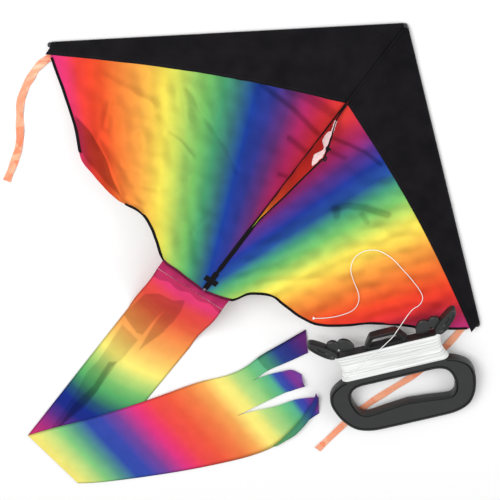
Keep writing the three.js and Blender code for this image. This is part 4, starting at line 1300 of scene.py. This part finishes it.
lower_dye = [
    (-0.63, (250, 226, 112)), (-0.60, (236, 228, 120)), (-0.575, (199, 220, 126)), (-0.548, (130, 200, 124)),
    (-0.518, (84, 150, 134)), (-0.485, (48, 74, 165)), (-0.455, (56, 72, 168)), (-0.42, (116, 66, 152)),
    (-0.395, (182, 58, 138)), (-0.376, (222, 52, 124)), (-0.355, (230, 58, 98)), (-0.333, (234, 72, 72)),
    (-0.295, (233, 86, 60)), (-0.25, (236, 122, 68)), (-0.215, (241, 164, 84)), (-0.182, (250, 232, 122)),
    (-0.163, (236, 230, 122)), (-0.143, (182, 216, 128)), (-0.105, (112, 190, 122)), (-0.084, (86, 176, 138)),
    (-0.07, (54, 82, 168)), (-0.056, (62, 62, 160)), (-0.04, (124, 52, 142)), (-0.015, (104, 62, 150)),
]
marks_mm = {
    "outer": [(-125.6, -576.5), (-97.6, -534.5), (-37.6, -450.5), (27.4, -347.5), (82.4, -253.5), (124, -197),
              (142, -158), (151, -116), (168, -67), (187, -12)],
    "first_right": [(-75, -590.5), (-20, -526), (50, -424), (108, -318), (150, -232), (172, -178),
                    (184, -136), (197, -108), (210, -82), (223, -54)],
    "second_left": [(190, -145), (207, -122), (221, -107), (243, -104)],
    "second_right": [(-25, -604.5), (20, -562), (84, -478), (142, -392), (178, -312), (197, -268),
                     (216, -220), (241, -163), (251, -148), (264, -120)],
    "third_left": [(222, -231), (247, -199), (271, -160), (303, -127)],
    "third_right": [(25.4, -618.5), (62, -587), (124, -523), (186, -454), (238, -390), (277, -336),
                    (302, -288), (317, -232), (321, -190), (328, -160)],
}
# Each slit's two sides are one line as far as its sixth mark, where the slit opens.
for slit, kept in (("second_left", "first_right"), ("third_left", "second_right")):
    marks_mm[slit] = marks_mm[kept][:6] + marks_mm[slit]
shared = {name: smooth_curve(np.array(marks) / 1000, 240) for name, marks in marks_mm.items()}
SLIT_START = 134
for slit, kept in (("second_left", "first_right"), ("third_left", "second_right")):
    shared[slit][:SLIT_START] = shared[kept][:SLIT_START]
tongues = [("outer", "first_right"), ("second_left", "second_right"), ("third_left", "third_right")]
along = np.linspace(0, 1, 240)[:, None]
across = np.linspace(0, 1, 27)[None]
sheets = []
for number, (left_name, right_name) in enumerate(tongues):
    left, right = shared[left_name], shared[right_name]
    flat = left[:, None] + (right - left)[:, None] * across[..., None]
    x, y = flat[..., 0], flat[..., 1]
    ply = (number + across) / 3
    free = eased((along - 0.52) / 0.3)
    height = 0.0014 * np.abs(np.sin(9 * along + 2.3 * ply)) * eased(along / 0.08)
    height = height * np.sin(math.pi * np.clip(ply, 0.02, 0.98))
    height = height + free * 0.0022 * np.sin(math.pi * across) * (1 + np.sin(7 * along + number))
    if number == 1:
        tip = eased((along - 0.9) / 0.1)
        height = height + 0.006 * tip * np.sin(math.pi * across * 0.7)
    # The bands lie askew to the folded length, and crowd less at the tip of the first tongue.
    dye = y + 0.34 * x
    if number == 0:
        dye = np.where(dye > -0.1, -0.1 + (dye + 0.1) * 0.45, dye)
    # Painted shade: the first tongue darkens past its twist, the second at its curled tip, and the third
    # along its outer edge beside the turned-back flap.
    light = np.ones(x.shape)
    if number == 0:
        twist_shade = eased((along - 0.745 + 0.09 * across) / 0.012)
        light = light * (1 - 0.38 * twist_shade) * (1 - 0.45 * twist_shade * eased(1 - across / 0.22))
    if number == 1:
        light = light * (1 - 0.4 * eased((along - 0.955) / 0.03) * eased((across - 0.4) / 0.3))
    if number == 2:
        light = light * (1 - 0.2 * eased((across - 0.86) / 0.1) * eased((along - 0.6) / 0.1))
    if number != 1:
        edge_gap = 0.15 * (ply if number == 0 else 1 - ply)
        light = light * (1 - 0.4 * np.exp(-((edge_gap / 0.0034) ** 4)))
    grid = np.stack([x, y, LOWER_LEVEL + height * np.ones(x.shape)], 2)
    tongue_flat = np.stack(np.broadcast_arrays(ply * TAIL_WIDTH, along * 0.75), 2)
    sheets.append((grid, tongue_flat, {"dye": dye, "shade": light}))
# The last tongue's outer edge is turned back over it and stands up into a curled point.
flap_outer = [(302, -288), (311, -258), (319, -228), (319, -188), (312.7, -153.4), (303, -128), (290, -118)]
flap_inner = [(301, -286), (303, -252), (305, -216), (304, -180), (299, -148), (294, -129), (289.5, -117.2)]
flap_edges = [smooth_curve(np.array(marks) / 1000, 90) for marks in (flap_outer, flap_inner)]
flap_share = np.linspace(0, 1, 90)[:, None]
flap_side = np.linspace(0, 1, 9)[None]
flap = flap_edges[0][:, None] + (flap_edges[1] - flap_edges[0])[:, None] * flap_side[..., None]
flap_height = LOWER_LEVEL + 0.0045 + 0.0065 * flap_share + 0.0015 * np.sin(math.pi * flap_side)
flap_grid = np.concatenate([flap, (flap_height * eased(flap_share / 0.12 + 0.25))[..., None]], 2)
flap_dye = -0.115 + 0.075 * flap_share + 0 * flap_side
# Painted shade: the turned-back flap is darkened to 0.49 to 0.62 of its dye, lightest a third of the way
# across.
flap_light = 0.62 - 0.2 * np.abs(flap_side - 0.35) + 0 * flap_share
flap_uv = np.stack(np.broadcast_arrays(flap_side * 0.012, flap_share * 0.18), 2)
sheets.append((flap_grid, flap_uv, {"dye": flap_dye, "shade": flap_light}))
lower_cloth = dyed_cloth("lower_tail_taffeta", lower_dye, (-0.63, 0.0))
lower_tail = cloth_piece(
    "tail_lower_cloth", sheets, lower_cloth, "tail_lower", ("tail_lower_length",), welded=True
)

# Wing-tip ribbons.
# Two narrow streamers of thin orange film, one knotted on at each tip. Folded flat in the packet, they
# keep its creases, so they lie in shallow facets, and each facet is painted its own tone between orange
# and pale orange as painted glints.
RIBBON_WIDTH = 0.015
RIBBON_CRUMPLE = {"left": 0.0026, "right": 0.0007}
ribbon_marks = {
    "left": [(-531.6, 185.5), (-541.6, 143.5), (-531.6, 73.5), (-487.6, -6.5), (-467.6, -86.5)],
    "right": [(433.4, 185.5), (434.4, 113.5), (426.4, 33.5), (392.4, -96.5), (380.4, -236.5)],
}


def orange_film():
    """Thin dyed film: satin, with a crumple of flat facets in the bump, and each facet painted a tone between
    orange and pale orange as painted glints.
    """
    material, shader = new_material("orange_film")
    place, facet, tone, bump, join = add_nodes(material, "TexCoord", "TexVoronoi", "ValToRGB", "Bump")
    dial(facet, Scale=45)
    join(place.outputs["Object"], facet.inputs["Vector"])
    two_tones(facet.outputs["Color"], tone, shader, (240, 132, 92), (248, 186, 150))
    raised(facet.outputs["Distance"], bump, shader, 0.5, 0.002)
    dial(shader, Roughness=0.32, Specular_IOR_Level=0.5)
    return material


film = orange_film()
for hand, marks in ribbon_marks.items():
    track = smooth_curve(np.array(marks) / 1000, 200)
    square = sideways(track)
    across = np.linspace(-0.5, 0.5, 13)[None, :, None]
    width = RIBBON_WIDTH * (1 - 0.12 * np.sin(np.linspace(0, 19, 200)) ** 2)[:, None, None]
    flat = track[:, None] + square[:, None] * across * width
    step = np.linspace(0, 1, 200)[:, None]
    facets = np.abs(np.mod(step * 17 + across[..., 0] * 1.6, 2) - 1)
    crumple = RIBBON_CRUMPLE[hand]
    height = 0.0008 + crumple * facets * (1 - np.exp(-step * 20))
    height = height + 0.4 * crumple * np.abs(across[..., 0]) * np.sin(step * 60)
    grid = np.concatenate([flat, np.maximum(height, 0.0006)[..., None]], 2)
    uv = np.concatenate([np.broadcast_to(across * RIBBON_WIDTH, flat[..., :1].shape), flat[..., 1:]], 2)
    ribbon = cloth_piece(
        f"{hand}_tip_streamer", [(grid, uv, {})], film, f"{hand}_ribbon",
        (f"{hand}_tip_ribbon",), 0.0003,
    )
